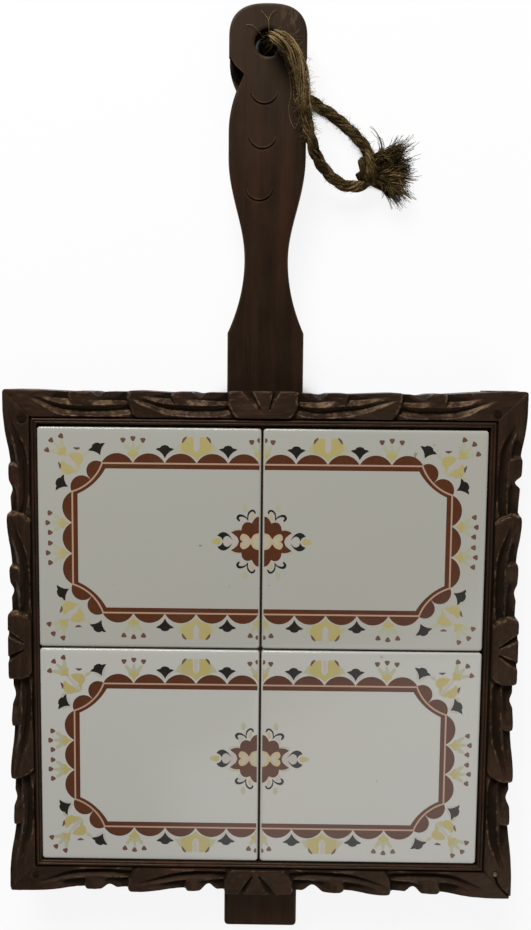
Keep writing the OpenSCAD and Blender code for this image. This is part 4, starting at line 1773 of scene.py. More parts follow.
def prism(name: str, outline: Sequence[Point2], low: float, high: float, foot: float) -> Piece:
    """An upright solid with that outline, extruded from a flat face.

    Args:
        name: its name.
        outline: its corners from above, in millimetres.
        low, high: its lowest and highest level.
        foot: the width and height of the bevel round its lower face.

    Returns:
        The solid.
    """
    flat = [(x, y, low + foot) for x, y in outline]
    piece = mesh_piece(name, flat, [list(range(len(flat)))])
    with editing(piece):
        bpy.ops.mesh.select_all(action="SELECT")
        rise = (0, 0, (high - low - foot) * MM)
        bpy.ops.mesh.extrude_region_move(TRANSFORM_OT_translate={"value": rise})
        bpy.ops.mesh.select_all(action="SELECT")
        bpy.ops.mesh.normals_make_consistent(inside=False)
    if foot:
        for polygon in piece.data.polygons:
            polygon.select = polygon.normal.z < -0.9
        for edge in piece.data.edges:
            edge.select = False
        for vertex in piece.data.vertices:
            vertex.select = vertex.co.z < (low + foot + 0.01) * MM
        with editing(piece):
            bpy.ops.mesh.select_mode(type="FACE")
            bpy.ops.mesh.inset(thickness=foot * MM, depth=foot * MM)
    return piece


@dataclass
class Frame:
    """The four carved rails."""

    middle: float = -78.5
    open_half: Point2 = (109.5, 110.0)

    def build(self) -> None:
        """Makes the rails."""
        across = CarvedWood("carved wood, grain across the picture", (0.1, 1.0, 1.0)).material()
        upright = CarvedWood("carved wood, grain up the picture", (1.0, 0.1, 1.0)).material()
        x_half, y_half = self.open_half
        fan = (((-1.6, 6.2), (-7.0, 15.5), 3.6, 2.2), ((1.6, 6.2), (7.0, 15.5), 3.6, 2.2))
        top = (((-0.9, 5.9), (-7.6, 15.5), 4.3, 2.3), ((2.8, 6.4), (6.2, 15.5), 3.4, 2.1))
        bottom = (((3.4, 6.0), (8.85, 15.5), 3.0, 2.1), ((0.3, 6.0), (-6.45, 15.5), 3.8, 2.3))
        Rail(Side.TOP, x_half, y_half, self.middle,
             Half((16.5, 43.8, 64.4, 93.4), ((30.5, 2.7, 4.2), (79.2, 2.4, 4.2))),
             Half((16.3, 40.4, 66.3, 88.0), ((27.0, 2.9, 4.5), (76.0, 2.7, 6.0)), flare=1.0), top,
             ((-115.85, 1.86, 4.8), (111.8, 5.9, 4.0)), 51, shift=0.85, recess_share=0.6, low_share=0.25,
             board_half=18.7, board_at=0.6, rub_and_highlight=0.9, edge_wear=1.0).build(across)
        Rail(Side.BOTTOM, x_half, y_half, self.middle,
             Half((16.3, 42.2, 66.0, 91.0), ((27.0, 2.9, 5.8), (77.5, 2.6, 4.8)), flare=1.0),
             Half((17.3, 37.0, 65.7, 87.7), ((25.5, 2.8, 4.8), (75.5, 1.7, 4.5))), bottom,
             ((112.1, 7.4, 3.4),), 52, recess_share=0.8, board_half=18.7, board_at=-0.6, width=15.8,
             edge_wear=0.4, painted_slope_shade=0.42,
             cracks=((-118.1, 3.0), (-118.9, 6.6), (-119.9, 9.4), (-122.2, 12.4), (-127, 17.4)),
             ).build(across)
        Rail(Side.LEFT, y_half, x_half, self.middle,
             Half((16.8, 40.4, 67.2, 91.2), ((25.0, 1.2, 5.5), (78.0, 1.0, 4.5)), pale=0.9, fade=0.8),
             Half((16.5, 39.5, 65.5, 89.3), ((27.5, 1.3, 4.5), (77.5, 1.2, 5.0)), pale=1.2, fade=1.15), fan,
             ((111.86, 6.36, 4.8),), 53, shift=0.5, bow=1.2).build(upright)
        Rail(Side.RIGHT, y_half, x_half, self.middle,
             Half((16.0, 43.0, 66.8, 95.0), ((29.0, 1.0, 5.0), (83.0, 2.6, 3.6)), pale=1.2, fade=1.1,
                  flare=1.0),
             Half((16.7, 40.2, 66.3, 88.5), ((25.0, 1.2, 4.5), (75.0, 1.4, 5.0)), pale=0.9, fade=0.8,
                  flare=1.0), fan,
             ((113.9, 8.4, 2.6),), 54, shift=0.5, width=15.7,
             cracks=((113.0, 8.1), (116.6, 8.9), (119.4, 9.9), (122.4, 12.2), (127, 17.4))).build(upright)


@dataclass
class Board:
    """The board: a head with a hanging hole, a waisted grip and a stub past the frame."""

    middle: float = 0.6
    edge_y: float = 47.0
    half: float = 18.5
    stub_y: float = -228.0
    stub_round: float = 2.0
    bottom: float = 7.0
    top: float = 18.0
    hole_at: Point2 = (0.6, 211.0)
    hole_r: float = 6.25
    hole_shade: float = 8.0
    reach: float = 182.0
    crown: float = 16.0
    crown_power: float = 2.6
    waist_at: float = 63.0
    waist_half: float = 10.5
    waist_runs: Point2 = (35.0, 48.0)
    swell: float = 8.0
    neck_at: float = 143.0
    neck_half: float = 14.5
    neck_runs: Point2 = (20.0, 14.0)
    neck_depth: float = 4.0
    bevel: float = 1.2
    thumbs: tuple = ((-1.0, 189.8), (-1.7, 169.1), (-3.0, 144.9))
    thumb_r: float = 6.7
    thumb_line: Point3 = (0.3, 1.2, 1.6)
    thumb_turn: Point2 = (-163.0, -14.0)
    notch: tuple = ((18.2, 157.2), (15.6, 153.2), (11.2, 149.2), (14.0, 143.0))
    notch_depth: float = 9.0
    notched: Point2 = (141.0, 161.0)
    undercut: Point2 = (0.5, 3.0)
    wear_band: float = 0.8

    def side(self) -> list[Point2]:
        """The handle's outline from the frame up one side, as distance from the frame and half width.

        Returns:
            The places, from the frame to the crown.
        """
        t = np.linspace(0, 1, 15)
        ease, bow = (1 - np.cos(math.pi * t)) / 2, 1 - t * t
        waist, thin, swell = self.waist_at, self.waist_half, self.swell
        neck, cut, deep = self.neck_at, self.neck_half, self.neck_depth
        below, above = self.waist_runs
        before, after = self.neck_runs
        rows = [(waist - v * below, thin + swell * v * v) for v in t[::-1]]
        rows += [(waist + v * above, thin + swell * e) for v, e in zip(t[1:], ease[1:])]
        rows += [(neck - (1 - v) * before, cut + deep * b) for v, b in zip(t, bow)]
        rows += [(neck + (1 - v) * after, cut + deep * b) for v, b in zip(t[::-1][1:], bow[::-1][1:])]
        for a in np.radians(np.linspace(0, 90, 22)[:-1]):
            power = 2 / self.crown_power
            up, across = math.sin(a) ** power, math.cos(a) ** power
            rows.append((self.reach - self.crown + self.crown * up, self.half * across))
        return rows

    def outline(self) -> list[Point2]:
        """The whole outline from above.

        Returns:
            The corners.
        """
        m, r, h = self.middle, self.stub_round, self.half
        side = self.side()
        right = [(m + w, self.edge_y + d) for d, w in side]
        left = [(m - w, self.edge_y + d) for d, w in reversed(side)]
        turn = [math.radians(a) for a in (0, 30, 60, 90)]
        corners = [(m - h + r - r * math.cos(a), self.stub_y + r - r * math.sin(a)) for a in turn]
        corners += [(m + h - r + r * math.sin(a), self.stub_y + r - r * math.cos(a)) for a in turn]
        return right + [(m, self.edge_y + self.reach)] + left + corners

    def build(self) -> None:
        """Makes the board with its hole, its cuts and its rubbed edges."""
        board = prism("worn_board", self.outline(), self.bottom, self.top, 0)
        cut_with(board, self._drum())
        modify(board, "BEVEL", width=self.bevel * MM, segments=4, limit_method="ANGLE",
               angle_limit=math.radians(40))
        for x, y in self.thumbs:
            cut_with(board, self._groove(x, y))
        for side in (-1, 1):
            cut_with(board, self._wedge(side))
        clean(board, 0.002)
        self._ring_face(board)
        self._mark_wear(board)
        shade(board, 28)
        place(board, Body.TRIVET, Slot.BOARD, BoardWood().material(), "handle_board")

    def _drum(self) -> Piece:
        """The cutter for the hanging hole.

        Returns:
            The cutter.
        """
        deselect()
        x, y = self.hole_at
        bpy.ops.mesh.primitive_cylinder_add(vertices=64, radius=self.hole_r * MM,
                                            depth=(self.top - self.bottom + 2) * MM,
                                            location=(x * MM, y * MM, (self.bottom + self.top) / 2 * MM))
        bpy.ops.object.transform_apply(location=True, rotation=True, scale=True)
        return bpy.context.object

    def _groove(self, x: float, y: float) -> Piece:
        """The cutter for a thumbnail: a line with a steep inner wall, shallow at its tips.

        Args:
            x, y: the middle of its arc.

        Returns:
            The cutter.
        """
        inside, depth, outside = self.thumb_line
        above = self.top + 0.6
        points = []
        turns = np.radians(np.linspace(*self.thumb_turn, 42))
        for a in turns:
            share = math.sin(-a) ** 0.6
            section = ((self.thumb_r - inside * share, above), (self.thumb_r, self.top - depth * share),
                       (self.thumb_r + outside * share, above))
            points += [(x + r * math.cos(a), y + r * math.sin(a), z) for r, z in section]
        cutter = mesh_piece("groove", points, ring_faces(len(turns), 3))
        clean(cutter)
        return cutter

    def _ring_face(self, board: Piece) -> None:
        """Insets the flat upper face, so that the rubbed edge ends a little inside it.

        Args:
            board: the board.
        """
        for polygon in board.data.polygons:
            polygon.select = polygon.normal.z > 0.9999 and polygon.center.z > (self.top - 0.01) * MM
        with editing(board):
            bpy.ops.mesh.select_mode(type="FACE")
            bpy.ops.mesh.inset(thickness=self.wear_band * MM, depth=0)

    def _wedge(self, side: int) -> Piece:
        """The notch beside the neck, whose floor slopes out.

        Args:
            side: 1 for the right notch and -1 for the left one.

        Returns:
            The cutter.
        """
        m = self.middle
        above = [(m + side * w, self.edge_y + y) for w, y in self.notch]
        above.append((m + side * (self.half + 3), (above[0][1] + above[-1][1]) / 2 + 2))
        points = [(x - side * self.undercut[0], y + self.undercut[1], self.top - self.notch_depth)
                  for x, y in above] + [(x, y, self.top + 1) for x, y in above]
        wedge = mesh_piece("wedge", points, ring_faces(2, len(above)))
        clean(wedge)
        return wedge

    def _mark_wear(self, board: Piece) -> None:
        """Marks the edges that hands have rubbed pale, and the walls of the notches and the hole for
        painted shade.

        Args:
            board: the board.
        """
        mesh = board.data
        normals = np.empty(len(mesh.vertices) * 3)
        mesh.vertices.foreach_get("normal", normals)
        up = np.abs(normals.reshape(-1, 3)[:, 2])
        paint_points(board, "wear", np.clip(1 - np.abs(up - 0.7) / 0.32, 0, 1))
        spots = np.empty(len(mesh.vertices) * 3)
        mesh.vertices.foreach_get("co", spots)
        x, y, z = spots.reshape(-1, 3).T / MM
        low, high = self.notched
        notched = (y > self.edge_y + low) & (y < self.edge_y + high)
        notched &= np.abs(x - self.middle) < self.half - 0.2
        holed = np.hypot(x - self.hole_at[0], y - self.hole_at[1]) < self.hole_shade
        # Painted shade: the walls of the notches and of the hole, below the top face.
        paint_points(board, "hollow", ((notched | holed) & (z < self.top - 0.35)).astype(float))


@dataclass
class Tiles:
    """The four tiles. Their glazed edges are rounded and lie a little lower."""

    names: tuple = ("upper_left", "upper_right", "lower_left", "lower_right")
    corner: float = 1.5
    corner_points: int = 7
    shoulder: float = 1.6
    edge: tuple = ((0, 1.0), (0.1, 0.6), (0.3, 0.32), (0.6, 0.15), (1.0, 0.07), (1.6, 0.03), (3.0, 0.0))

    def build(self) -> None:
        """Makes the tiles."""
        # One glaze in two whites: the upper tiles are painted darker, as painted shade, and the lower tiles
        # lighter, as painted light.
        upper = Glaze("glazed tile, upper", srgb(165, 164, 155)).material()
        lower = Glaze("glazed tile, lower", srgb(177, 176, 169)).material()
        for name in self.names:
            low, high = cad_mm(f"tile_{name}")
            rows = [(0.0, low[2]), (0.0, high[2] - self.shoulder)]
            rows += [(inset, high[2] - drop) for inset, drop in self.edge]
            tile = self._lofted(f"glazed_{name}", low, high, rows)
            glaze = upper if "upper" in name else lower
            place(tile, Body.TRIVET, Slot.TILE, glaze, f"tile_{name}")

    def _lofted(self, name: str, low: Array, high: Array, rows: list[Point2]) -> Piece:
        """A square with rounded corners, lofted through rows of inset and height.

        Args:
            name: its name.
            low, high: the corners of the tile's box.
            rows: the inset and the height of each row.

        Returns:
            The piece.
        """
        points = []
        for inset, z in rows:
            r = max(self.corner - inset * 0.3, 0.6)
            for k, (sx, sy) in enumerate(((1, 1), (-1, 1), (-1, -1), (1, -1))):
                cx = (high[0] - inset - r) if sx > 0 else (low[0] + inset + r)
                cy = (high[1] - inset - r) if sy > 0 else (low[1] + inset + r)
                for a in np.radians(np.linspace(90 * k, 90 * k + 90, self.corner_points)):
                    points.append((cx + r * math.cos(a), cy + r * math.sin(a), z))
        piece = mesh_piece(name, points, ring_faces(len(rows), 4 * self.corner_points))
        clean(piece)
        shade(piece, 60)
        return piece


def arc(start: Point2, end: Point2, rise: float, steps: int = 12) -> Array:
    """Places along a circle's arc between two places.

    Args:
        start, end: its ends.
        rise: how far it swells from the straight line, to the left as seen with v pointing down.
        steps: the number of steps along it.

    Returns:
        The places, with both ends.
    """
    a, b = np.asarray(start, float), np.asarray(end, float)
    chord = np.linalg.norm(b - a)
    way = (b - a) / chord
    out = np.array([way[1], -way[0]])
    radius = (chord ** 2 / 4 + rise ** 2) / (2 * abs(rise))
    up = out * math.copysign(1.0, rise)
    middle = (a + b) / 2 + up * (abs(rise) - radius)
    sweep = 2 * math.asin(min(chord / 2 / radius, 1.0))
    if abs(rise) > radius:
        sweep = 2 * math.pi - sweep
    turns = np.linspace(-sweep / 2, sweep / 2, steps + 1)
    return np.array([middle + radius * (up * math.cos(t) + way * math.sin(t)) for t in turns])


def shape(*runs: Sequence[Point2]) -> Array:
    """A closed outline from smooth runs of points, with a corner where two runs meet.

    Args:
        runs: the first run, and for each next one the points past the end of the run before it. A run with
            one such point is straight. A straight line closes the outline where its ends don't meet.

    Returns:
        The outline.
    """
    last = np.array(runs[0][0], float)
    rows = []
    for number, run in enumerate(runs):
        points = np.vstack([last[None], np.array(run[number == 0:], float)])
        rows.append(smooth_line(points, 5)[:-1] if len(points) > 2 else points[:-1])
        last = points[-1]
    if not np.allclose(last, runs[0][0]):
        rows.append(last[None])
    return np.vstack(rows)


def disc(spot: Point2, wide: float, tall: float) -> Array:
    """An oval outline."""
    a = np.linspace(0, 2 * math.pi, 20, endpoint=False)
    return np.stack([spot[0] + wide * np.cos(a), spot[1] + tall * np.sin(a)], axis=1)


def stroke(points: Sequence[Point2], widths: Sequence[float]) -> Array:
    """The outline of a brush stroke through points, with its width at each of them.

    Args:
        points: the chosen points.
        widths: the widths, evenly spread along it.

    Returns:
        The outline.
    """
    line = smooth_line(points, 5)
    share = np.linspace(0, 1, len(line))
    wide = np.interp(share, np.linspace(0, 1, len(widths)), widths)[:, None] / 2
    way = np.gradient(line, axis=0)
    way /= np.linalg.norm(way, axis=1)[:, None]
    side = np.stack([way[:, 1], -way[:, 0]], axis=1)
    cap = line[-1:] + way[-1:] * wide[-1:] * 0.8
    start = line[:1] - way[:1] * wide[:1] * 0.8
    return np.vstack([start, line + side * wide, cap, (line - side * wide)[::-1]])


def stood(outline: Array, spot: Point2, way: Point2) -> Array:
    """An outline drawn upwards from the origin, moved to a spot and turned to grow in a direction.

    Args:
        outline: the outline.
        spot: where its origin comes.
        way: the direction.

    Returns:
        The moved outline.
    """
    way = np.asarray(way, float) / np.linalg.norm(way)
    across = np.array([-way[1], way[0]])
    outline = np.asarray(outline, float)
    return np.asarray(spot) + outline[:, :1] * across + outline[:, 1:] * way


HALF_TILE = 54.0


@dataclass
class Print:
    """The printed border and half medallion of one tile, drawn in millimetres.

    A place is (u, v): u from the tile's outer edge and v from its top edge. What lies in the upper half is
    mirrored into the lower half, and the right tiles are the left ones mirrored.
    """

    end: float = 107.2
    line_v: float = 17.3
    line_u: float = 16.85
    line_wide: float = 0.8
    band_v: float = 19.85
    band_u: float = 19.4
    turn_top: Point2 = (31.4, 17.3)
    turn_side: Point2 = (16.85, 31.2)
    joints_u: tuple = (31.1, 46.2, 61.6, 76.9, 92.2, 107.2)
    joints_v: tuple = (31.2, 46.4, 61.6)
    scallop: float = 4.6
    tuck: float = 0.3
    joint: float = 0.24
    medallion_v: float = 54.8
    shapes: dict = field(default_factory=dict)

    def __post_init__(self) -> None:
        """Draws everything."""
        self.shapes = {ink: [] for ink in Ink}
        self._border()
        for spot, way in (((61.65, 14.7), (0, -1)), ((92.1, 14.7), (0, -1)),
                          ((30.6, 13.5), (-0.415, -0.91)), ((14.8, 28.9), (-0.89, -0.46))):
            self._tulip(spot, way)
        for spot, way, side_reach in (((46.3, 16.3), (0, -1), 10.3), ((15.8, 46.6), (-1, 0), 10.0),
                                      ((14.75, 14.35), (-1, -1), 9.2)):
            self._spray(spot, way, side_reach)
        self._half_spray()
        self._blossom()
        self._corner_blossom()
        self._medallion()

    def add(self, ink: Ink, outline: Array, about: float | None = HALF_TILE) -> None:
        """Adds an outline and its mirror image.

        Args:
            ink: its colour.
            outline: the outline.
            about: the v about which it is mirrored, or None for no mirror image.
        """
        self.shapes[ink].append(np.asarray(outline, float))
        if about is not None:
            self.shapes[ink].append(np.asarray(outline, float) * (1, -1) + (0, 2 * about))

    def _border(self) -> None:
        """The band with its cream line, the scallops outside it and the scooped corner."""
        corner = arc(self.turn_side, self.turn_top, -2.4)[::-1]
        inner = arc((self.band_u, 32.3), (33.0, self.band_v), -1.5)
        middle = [(self.line_u, HALF_TILE), (self.band_u, HALF_TILE)]
        band = np.vstack([[(self.end, self.line_v)], corner, middle, inner, [(self.end, self.band_v)]])
        self.add(Ink.BROWN, band)
        top, side = self.line_v - self.tuck, self.line_u - self.tuck
        gap = self.joint / 2
        for a, b in zip(self.joints_u, self.joints_u[1:]):
            self.add(Ink.BROWN, arc((a + gap, top), (b - gap, top), self.scallop, 20))
        low, high = self.joints_v[:2]
        self.add(Ink.BROWN, arc((side, high - gap), (side, low + gap), self.scallop, 20))
        across = arc((side, 2 * HALF_TILE - high - gap), (side, high + gap), self.scallop, 20)
        self.add(Ink.BROWN, across, None)
        self.add(Ink.BROWN, np.vstack([arc((25.2, 24.4), (31.2, 16.9), 4.3, 20), corner[:7]]))
        self.add(Ink.BROWN, np.vstack([arc((16.5, 31.1), (25.0, 24.6), 4.2, 20), corner[6:]]))
        centre = np.vstack([[(self.end, self.line_v)], corner, [(self.line_u, HALF_TILE)]])
        self.add(Ink.LINE, self._ribbon(centre, self.line_wide))

    @staticmethod
    def _ribbon(line: Array, wide: float) -> Array:
        """A line with corners given an even width.

        Args:
            line: the line.
            wide: the width.

        Returns:
            The outline.
        """
        way = np.diff(line, axis=0)
        way /= np.linalg.norm(way, axis=1)[:, None]
        side = np.stack([way[:, 1], -way[:, 0]], axis=1)
        side = np.vstack([side[:1], (side[1:] + side[:-1]) / 2, side[-1:]])
        side /= (side ** 2).sum(axis=1)[:, None]
        return np.vstack([line + side * wide / 2, (line - side * wide / 2)[::-1]])

    def _tulip(self, spot: Point2, way: Point2) -> None:
        """A black tulip, with its point at a spot.

        Args:
            spot: the point.
            way: the direction in which it opens.
        """
        lower = [(0, 0), (0.95, 1.7), (2.4, 3.2), (4.4, 4.4)]
        upper = [(4.4, 4.4), (3.4, 4.9), (2.3, 5.1), (1.5, 6.0), (0, 6.4)]
        back = [[(-x, y) for x, y in run[-2::-1]] for run in (upper, lower)]
        cup = shape(lower, upper[1:], *back)
        self.add(Ink.BLACK, stood(cup, spot, way))
        for side in (-1, 1):
            halo = stroke([(side * 3.2, 3.2), (side * 1.8, 1.6), (side * 0.5, -0.8)], (0.5, 0.9, 0.4))
            self.add(Ink.PALE, stood(halo, spot, way))

    def _spray(self, spot: Point2, way: Point2, side_reach: float) -> None:
        """A small yellow flower that sends out three buds.

        Args:
            spot: the flower's foot.
            way: the direction in which it grows.
            side_reach: how far the outer buds stand from the foot.
        """
        flower = shape([(0, 0.4), (-1.1, 2.3), (-2.4, 3.3), (-2.5, 4.6), (-1.2, 4.4), (-0.1, 5.6),
                        (1.0, 4.4), (2.4, 4.7), (2.4, 3.3), (1.1, 2.3), (0, 0.4)])
        haze = shape([(-2.0, 3.6), (-4.3, 7.4), (-3.4, 8.4), (-1.2, 6.4), (-0.4, 9.0), (0.6, 9.0),
                      (1.2, 6.5), (3.4, 8.3), (4.4, 7.4), (2.0, 3.6)])
        self.add(Ink.YELLOW, stood(flower, spot, way))
        self.add(Ink.HAZE, stood(haze, spot, way))
        for x, y in ((-4.8, side_reach), (0, 11.1), (4.8, side_reach)):
            self.add(Ink.BUD, stood(self._bud() + (x, y), spot, way))

    @staticmethod
    def _bud() -> Array:
        """A bud with three lobes.

        Returns:
            Its outline about the origin.
        """
        a = np.linspace(0, 2 * math.pi, 18, endpoint=False)
        r = 1.2 * (1 + 0.17 * np.sin(3 * a))
        return np.stack([r * np.cos(a), r * np.sin(a)], axis=1)

    def _half_spray(self) -> None:
        """The half of a spray that the gap between two tiles cuts."""
        end = self.end
        flower = shape([(end, 16.0), (106.4, 14.2), (104.9, 12.8), (104.8, 11.5), (106.0, 11.9),
                        (end, 10.5)])
        haze = shape([(end, 12.2), (105.0, 11.6), (103.7, 8.8), (104.6, 8.2), (106.2, 9.8), (end, 8.0)])
        half_bud = shape([(end, 4.6), (106.3, 4.8), (106.0, 5.7), (106.5, 6.6), (end, 6.8)])
        self.add(Ink.YELLOW, flower)
        self.add(Ink.HAZE, haze)
        self.add(Ink.BUD, half_bud)
        self.add(Ink.BUD, self._bud() * (1, -1) + (103.4, 6.5))

    def _blossom(self) -> None:
        """The yellow blossom with two lobes."""
        middle = self.joints_u[3]
        lobe = shape([(0, -15.4), (-2.4, -13.2), (-5.6, -12.1), (-7.3, -9.6), (-6.7, -6.6), (-4.4, -4.7),
                      (-1.7, -4.4)], [(-1.5, -6.6), (-1.6, -9.4), (-0.9, -11.2), (0, -11.9)])
        leaf = shape([(-6.6, -6.2), (-8.4, -7.8), (-9.6, -9.6), (-10.6, -11.4)],
                     [(-8.8, -11.2), (-7.2, -12.0), (-5.4, -12.4)])
        hook = stroke([(-6.8, -7.0), (-6.0, -5.5), (-4.9, -4.4)], (0.6, 1.25, 0.6))
        for side in (-1, 1):
            for ink, outline in ((Ink.YELLOW, lobe), (Ink.HAZE, leaf), (Ink.BUD, hook)):
                self.add(ink, outline * (-side, -1) + (middle, 0))
        self.add(Ink.PALE, stroke([(middle, 4.9), (76.7, 8.0), (middle, 11.2)], (1.9, 2.2, 1.2)))

    def _corner_blossom(self) -> None:
        """The yellow blossom set slantwise in the corner."""
        upper = shape([(15.2, 13.2), (17.5, 12.4), (20.8, 12.8), (22.3, 14.6), (21.9, 16.6), (20.6, 18.1),
                       (19.9, 20.0)], [(19.2, 17.6), (17.4, 16.2), (15.9, 14.6), (15.2, 13.2)])
        lower = shape([(12.4, 16.0), (11.4, 17.4), (11.2, 19.2), (12.0, 21.3), (13.6, 22.6), (15.6, 22.7),
                       (17.2, 21.7), (19.0, 21.2)],
                      [(17.0, 20.2), (16.6, 18.9), (15.2, 18.6), (13.9, 17.6), (12.4, 16.0)])
        centre = shape([(19.0, 17.6), (20.6, 18.0), (20.4, 21.0), (17.4, 22.4), (16.4, 20.4), (19.0, 17.6)])
        right = shape([(22.3, 14.2), (22.6, 12.4), (25.2, 11.6), (24.0, 13.4), (22.3, 14.2)])
        left = shape([(13.2, 22.6), (11.4, 22.4), (10.4, 24.6), (12.4, 24.2), (13.2, 22.6)])
        for ink, outline in (
                (Ink.HAZE, centre), (Ink.YELLOW, upper), (Ink.YELLOW, lower),
                (Ink.PALE, stroke([(13.6, 14.0), (16.6, 17.2), (19.4, 20.4)], (0.9, 1.6, 0.8))),
                (Ink.HAZE, right), (Ink.HAZE, left),
                (Ink.BUD, stroke([(17.8, 10.0), (19.2, 10.4), (20.6, 10.1)], (0.5, 1.25, 0.5))),
                (Ink.BUD, stroke([(10.3, 17.2), (11.0, 18.5), (11.1, 20.0)], (0.5, 1.25, 0.6)))):
            self.add(ink, outline)

    def _medallion(self) -> None:
        """The half of the medallion that lies on this tile."""
        end, mid = self.end, self.medallion_v
        heart = [(99.3, mid), (98.3, 53.9), (98.2, 52.4), (99.2, 51.1), (100.6, 51.2), (102.0, 52.0),
                 (103.35, 53.7)]
        rim = [(103.35, 53.7), (103.9, 52.6), (105.0, 51.3), (end, 50.6)]
        petals = shape([(end, 42.6), (105.9, 42.9), (104.7, 44.2), (103.75, 45.9)],
                       [(102.8, 45.45), (101.4, 45.35), (100.1, 45.9), (99.1, 47.3), (98.85, 48.6),
                        (98.6, 49.4)],
                       [(97.4, 49.25), (95.5, 49.55), (93.8, 50.4)],
                       [(95.3, 51.5), (96.8, 52.9), (97.5, mid)], [(99.3, mid)], heart[1:], rim[1:])
        horns = shape([(94.5, 54.1), (93.1, 52.0), (91.5, 50.7), (89.9, 50.3), (88.2, 50.9), (87.1, 52.1)],
                      [(88.4, 52.6), (89.3, 53.5), (89.8, 54.5)],
                      [(90.2, 53.1), (91.2, 52.3), (92.3, 52.2), (93.4, 53.0), (94.5, 54.1)])
        lining = shape([(94.0, 51.0), (96.4, 52.8), (97.3, mid)], [(89.7, mid)],
                       [(90.3, 52.9), (92.2, 52.0), (93.6, 52.4), (94.0, 51.0)])
        curl = stroke([(102.0, 44.4), (100.9, 43.0), (99.0, 42.15), (97.5, 42.3), (96.9, 43.4),
                       (97.7, 44.7)], (0.35, 0.55, 1.0, 1.3, 1.25, 0.8))
        hook = stroke([(101.9, 43.9), (101.8, 42.4), (102.3, 40.8), (103.5, 39.7), (104.7, 39.8),
                       (105.3, 40.9)], (0.35, 0.55, 0.8, 0.9, 0.95, 0.7))
        blush = shape([(98.3, 43.6), (100.0, 43.4), (101.0, 44.8), (99.4, 45.6), (98.6, 47.2), (98.0, 45.4),
                       (98.3, 43.6)])
        bead = shape([(103.2, 41.6), (104.4, 41.0), (104.8, 42.4), (103.7, 44.6), (102.9, 43.4),
                      (103.2, 41.6)])
        glint = shape([(100.6, mid), (99.9, 53.6), (100.5, 52.7), (101.7, 53.3), (102.7, mid)])
        for ink, outline in (
                (Ink.BROWN, petals), (Ink.CREAM, shape(heart, [(103.6, mid)])),
                (Ink.CREAM, shape(rim, [(end, mid)], [(103.6, mid)])),
                (Ink.WHITE, glint),
                (Ink.WHITE, shape([(104.5, mid), (105.1, 52.6), (end, 51.7)], [(end, mid)])),
                (Ink.BLACK, horns), (Ink.PALE, lining)):
            self.add(ink, outline, mid)
        self.add(Ink.YELLOW, disc((87.0, mid), 1.7, 1.55), None)
        self.add(Ink.HAZE, disc((85.3, mid), 1.5, 1.2), None)
        for ink, outline in (
                (Ink.HAZE, disc((100.5, 38.3), 1.2, 1.9)),
                (Ink.HAZE, stroke([(93.2, 49.9), (95.0, 48.9), (98.4, 48.7)], (0.5, 0.7, 0.5))),
                (Ink.BLACK, curl), (Ink.BLACK, hook), (Ink.PALE, blush), (Ink.CREAM, bead)):
            self.add(ink, outline, mid)


@dataclass
class Printing:
    """Lays the print on the tiles, as thin solids just proud of the glaze, one for each tile and ink."""

    sink: float = 0.06
    rise: float = 0.012
    layer: float = 0.007
    step: float = 0.0006
    inks: tuple = (
        (Ink.HAZE, srgb(163, 161, 130), srgb(166, 164, 148)),
        (Ink.PALE, srgb(172, 163, 156), srgb(168, 162, 153)),
        (Ink.CREAM, srgb(176, 156, 122), srgb(174, 156, 128)),
        (Ink.YELLOW, srgb(168, 154, 96), srgb(167, 160, 122)),
        (Ink.BROWN, srgb(77, 39, 17), srgb(88, 51, 27)),
        (Ink.WHITE, srgb(170, 164, 146), srgb(170, 162, 142)),
        (Ink.BUD, srgb(96, 64, 52), srgb(118, 92, 76)),
        (Ink.LINE, srgb(172, 138, 116), srgb(162, 134, 114)),
        (Ink.BLACK, srgb(24, 21, 16), srgb(38, 33, 27)))

    def build(self) -> None:
        """Prints all four tiles."""
        drawing = Print()
        finishes = {ink: PrintInk(f"{ink.name.lower()} print", full, thin).material()
                    for ink, full, thin in self.inks}
        for name in Tiles().names:
            low, high = cad_mm(f"tile_{name}")
            for ink, finish in finishes.items():
                outlines = [self._on_tile(outline, name, low, high) for outline in drawing.shapes[ink]]
                piece = self._slabs(f"print_{name}_{ink.name.lower()}", outlines, high[2], ink.value)
                place(piece, Body.TRIVET, Slot.TILE, finish)

    @staticmethod
    def _on_tile(outline: Array, name: str, low: Array, high: Array) -> Array:
        """An outline from (u, v) to places on a tile."""
        x = low[0] + outline[:, 0] if "left" in name else high[0] - outline[:, 0]
        return np.stack([x, high[1] - outline[:, 1]], axis=1)

    def _slabs(self, name: str, outlines: list[Array], glaze: float, order: int) -> Piece:
        """Closed thin solids with those outlines.

        Args:
            name: the object's name.
            outlines: the outlines, which may overlap.
            glaze: the height of the glaze.
            order: the ink's place in the order.

        Returns:
            The object.
        """
        points, faces, count = [], [], 0
        for number, flat in enumerate(outlines):
            top = glaze + self.rise + order * self.layer + number * self.step
            n = len(flat)
            rows = [Vector((x, y, 0)) for x, y in flat]
            area = sum(a.x * b.y - b.x * a.y for a, b in zip(rows, rows[1:] + rows[:1]))
            if area < 0:
                rows = rows[::-1]
            points += [(p.x, p.y, z) for z in (glaze - self.sink, top) for p in rows]
            for tri in tessellate_polygon([rows]):
                a, b, c = (rows[i] for i in tri)
                if (b - a).cross(c - a).z < 0:
                    tri = tri[::-1]
                faces.append([count + n + i for i in tri])
                faces.append([count + i for i in reversed(tri)])
            faces += ring_faces(2, n, count, capped=False)
            count += 2 * n
        return mesh_piece(name, points, faces)


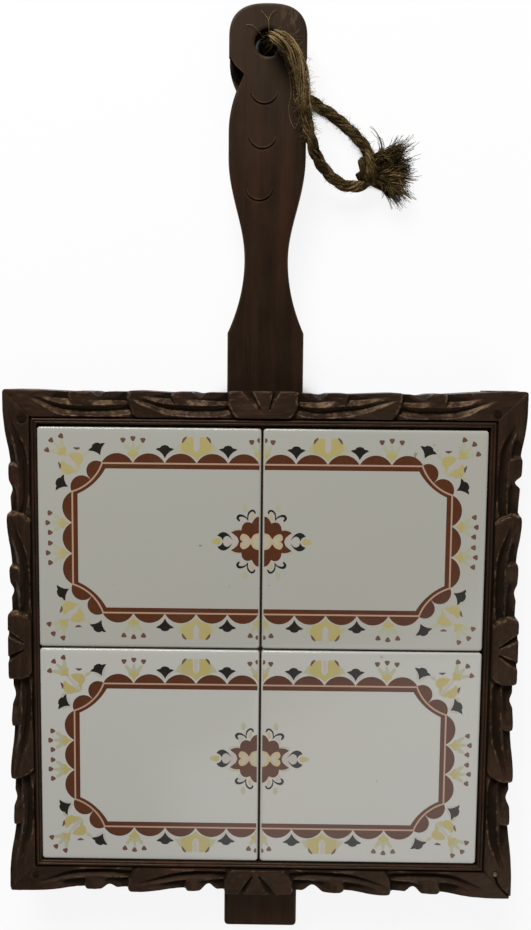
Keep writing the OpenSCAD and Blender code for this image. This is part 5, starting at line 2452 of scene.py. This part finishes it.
@dataclass
class Hardware:
    """The small pieces: pegs, nail, screws, brads, panel and adhesive."""

    pegs: tuple = ("peg_top_left", "peg_top_right", "peg_bottom_left")
    sides: int = 32
    foot_rows: tuple = ((0.55, 0.0), (0.96, 0.6))
    shoulder: float = 0.25
    dome_rows: tuple = ((0.93, 0.6), (0.7, 0.25), (0.35, 0.05))

    def build(self) -> None:
        """Makes the peg and nail heads, and gives the hidden pieces their finishes."""
        end_grain = PlainWood("peg end grain", srgb(40, 27, 19), srgb(20, 13, 9), (1.0, 1.0, 0.2), 0.0009)
        wood = end_grain.material()
        for name in self.pegs:
            self._turned(name, f"worn_{name}", 0.35, wood, Slot.PEG)
        bright = OldMetal("nail head", srgb(120, 106, 84), srgb(58, 46, 34), 0.5).material()
        self._turned("nail_bottom_right", "nail_head", 0.45, bright, Slot.NAIL)
        panel = PlainWood("panel", srgb(112, 86, 58), srgb(74, 53, 34), (0.08, 1.0, 1.0))
        hidden = [("backing_panel", panel),
                  ("board_screws", OldMetal("screw steel", srgb(150, 146, 138), srgb(92, 80, 68))),
                  ("panel_brads", OldMetal("brad steel", srgb(140, 135, 126), srgb(84, 70, 58)))]
        for name, finish in hidden:
            dress(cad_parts[name], finish.material())
        adhesive = Adhesive().material()
        for name in Tiles().names:
            dress(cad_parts[f"bed_{name}"], adhesive)

    def _turned(self, node: str, name: str, dome: float, finish: Material, slot: Slot) -> None:
        """A round piece with a slightly domed and bevelled top, in the node's place.

        Args:
            node: the node that it stands for.
            name: its name.
            dome: the height of its dome.
            finish: its material.
            slot: its material slot.
        """
        low, high = cad_mm(node)
        x, y = (low[:2] + high[:2]) / 2
        r = (high[0] - low[0]) / 2
        profile = [(r * share, low[2] + rise) for share, rise in self.foot_rows]
        profile.append((r, high[2] - dome - self.shoulder))
        profile += [(r * share, high[2] - dome * drop) for share, drop in self.dome_rows]
        n = self.sides
        angles = np.arange(n) * 2 * math.pi / n
        points = [(x + pr * math.cos(a), y + pr * math.sin(a), pz) for pr, pz in profile for a in angles]
        points += [(x, y, low[2]), (x, y, high[2])]
        faces = ring_faces(len(profile), n, capped=False)
        last = (len(profile) - 1) * n
        faces += [((k + 1) % n, k, len(points) - 2) for k in range(n)]
        faces += [(last + k, last + (k + 1) % n, len(points) - 1) for k in range(n)]
        piece = mesh_piece(name, points, faces)
        clean(piece)
        shade(piece, 40)
        place(piece, Body.TRIVET, slot, finish, node)


def main() -> None:
    """Builds the camera, the light and then each sub-assembly."""
    logging.basicConfig(level=logging.INFO, format="%(name)s: %(message)s")
    Studio().build()
    RopeLoop().build(Jute().material())
    Frame().build()
    Board().build()
    Tiles().build()
    Printing().build()
    Hardware().build()


if __name__ == "__main__":
    main()
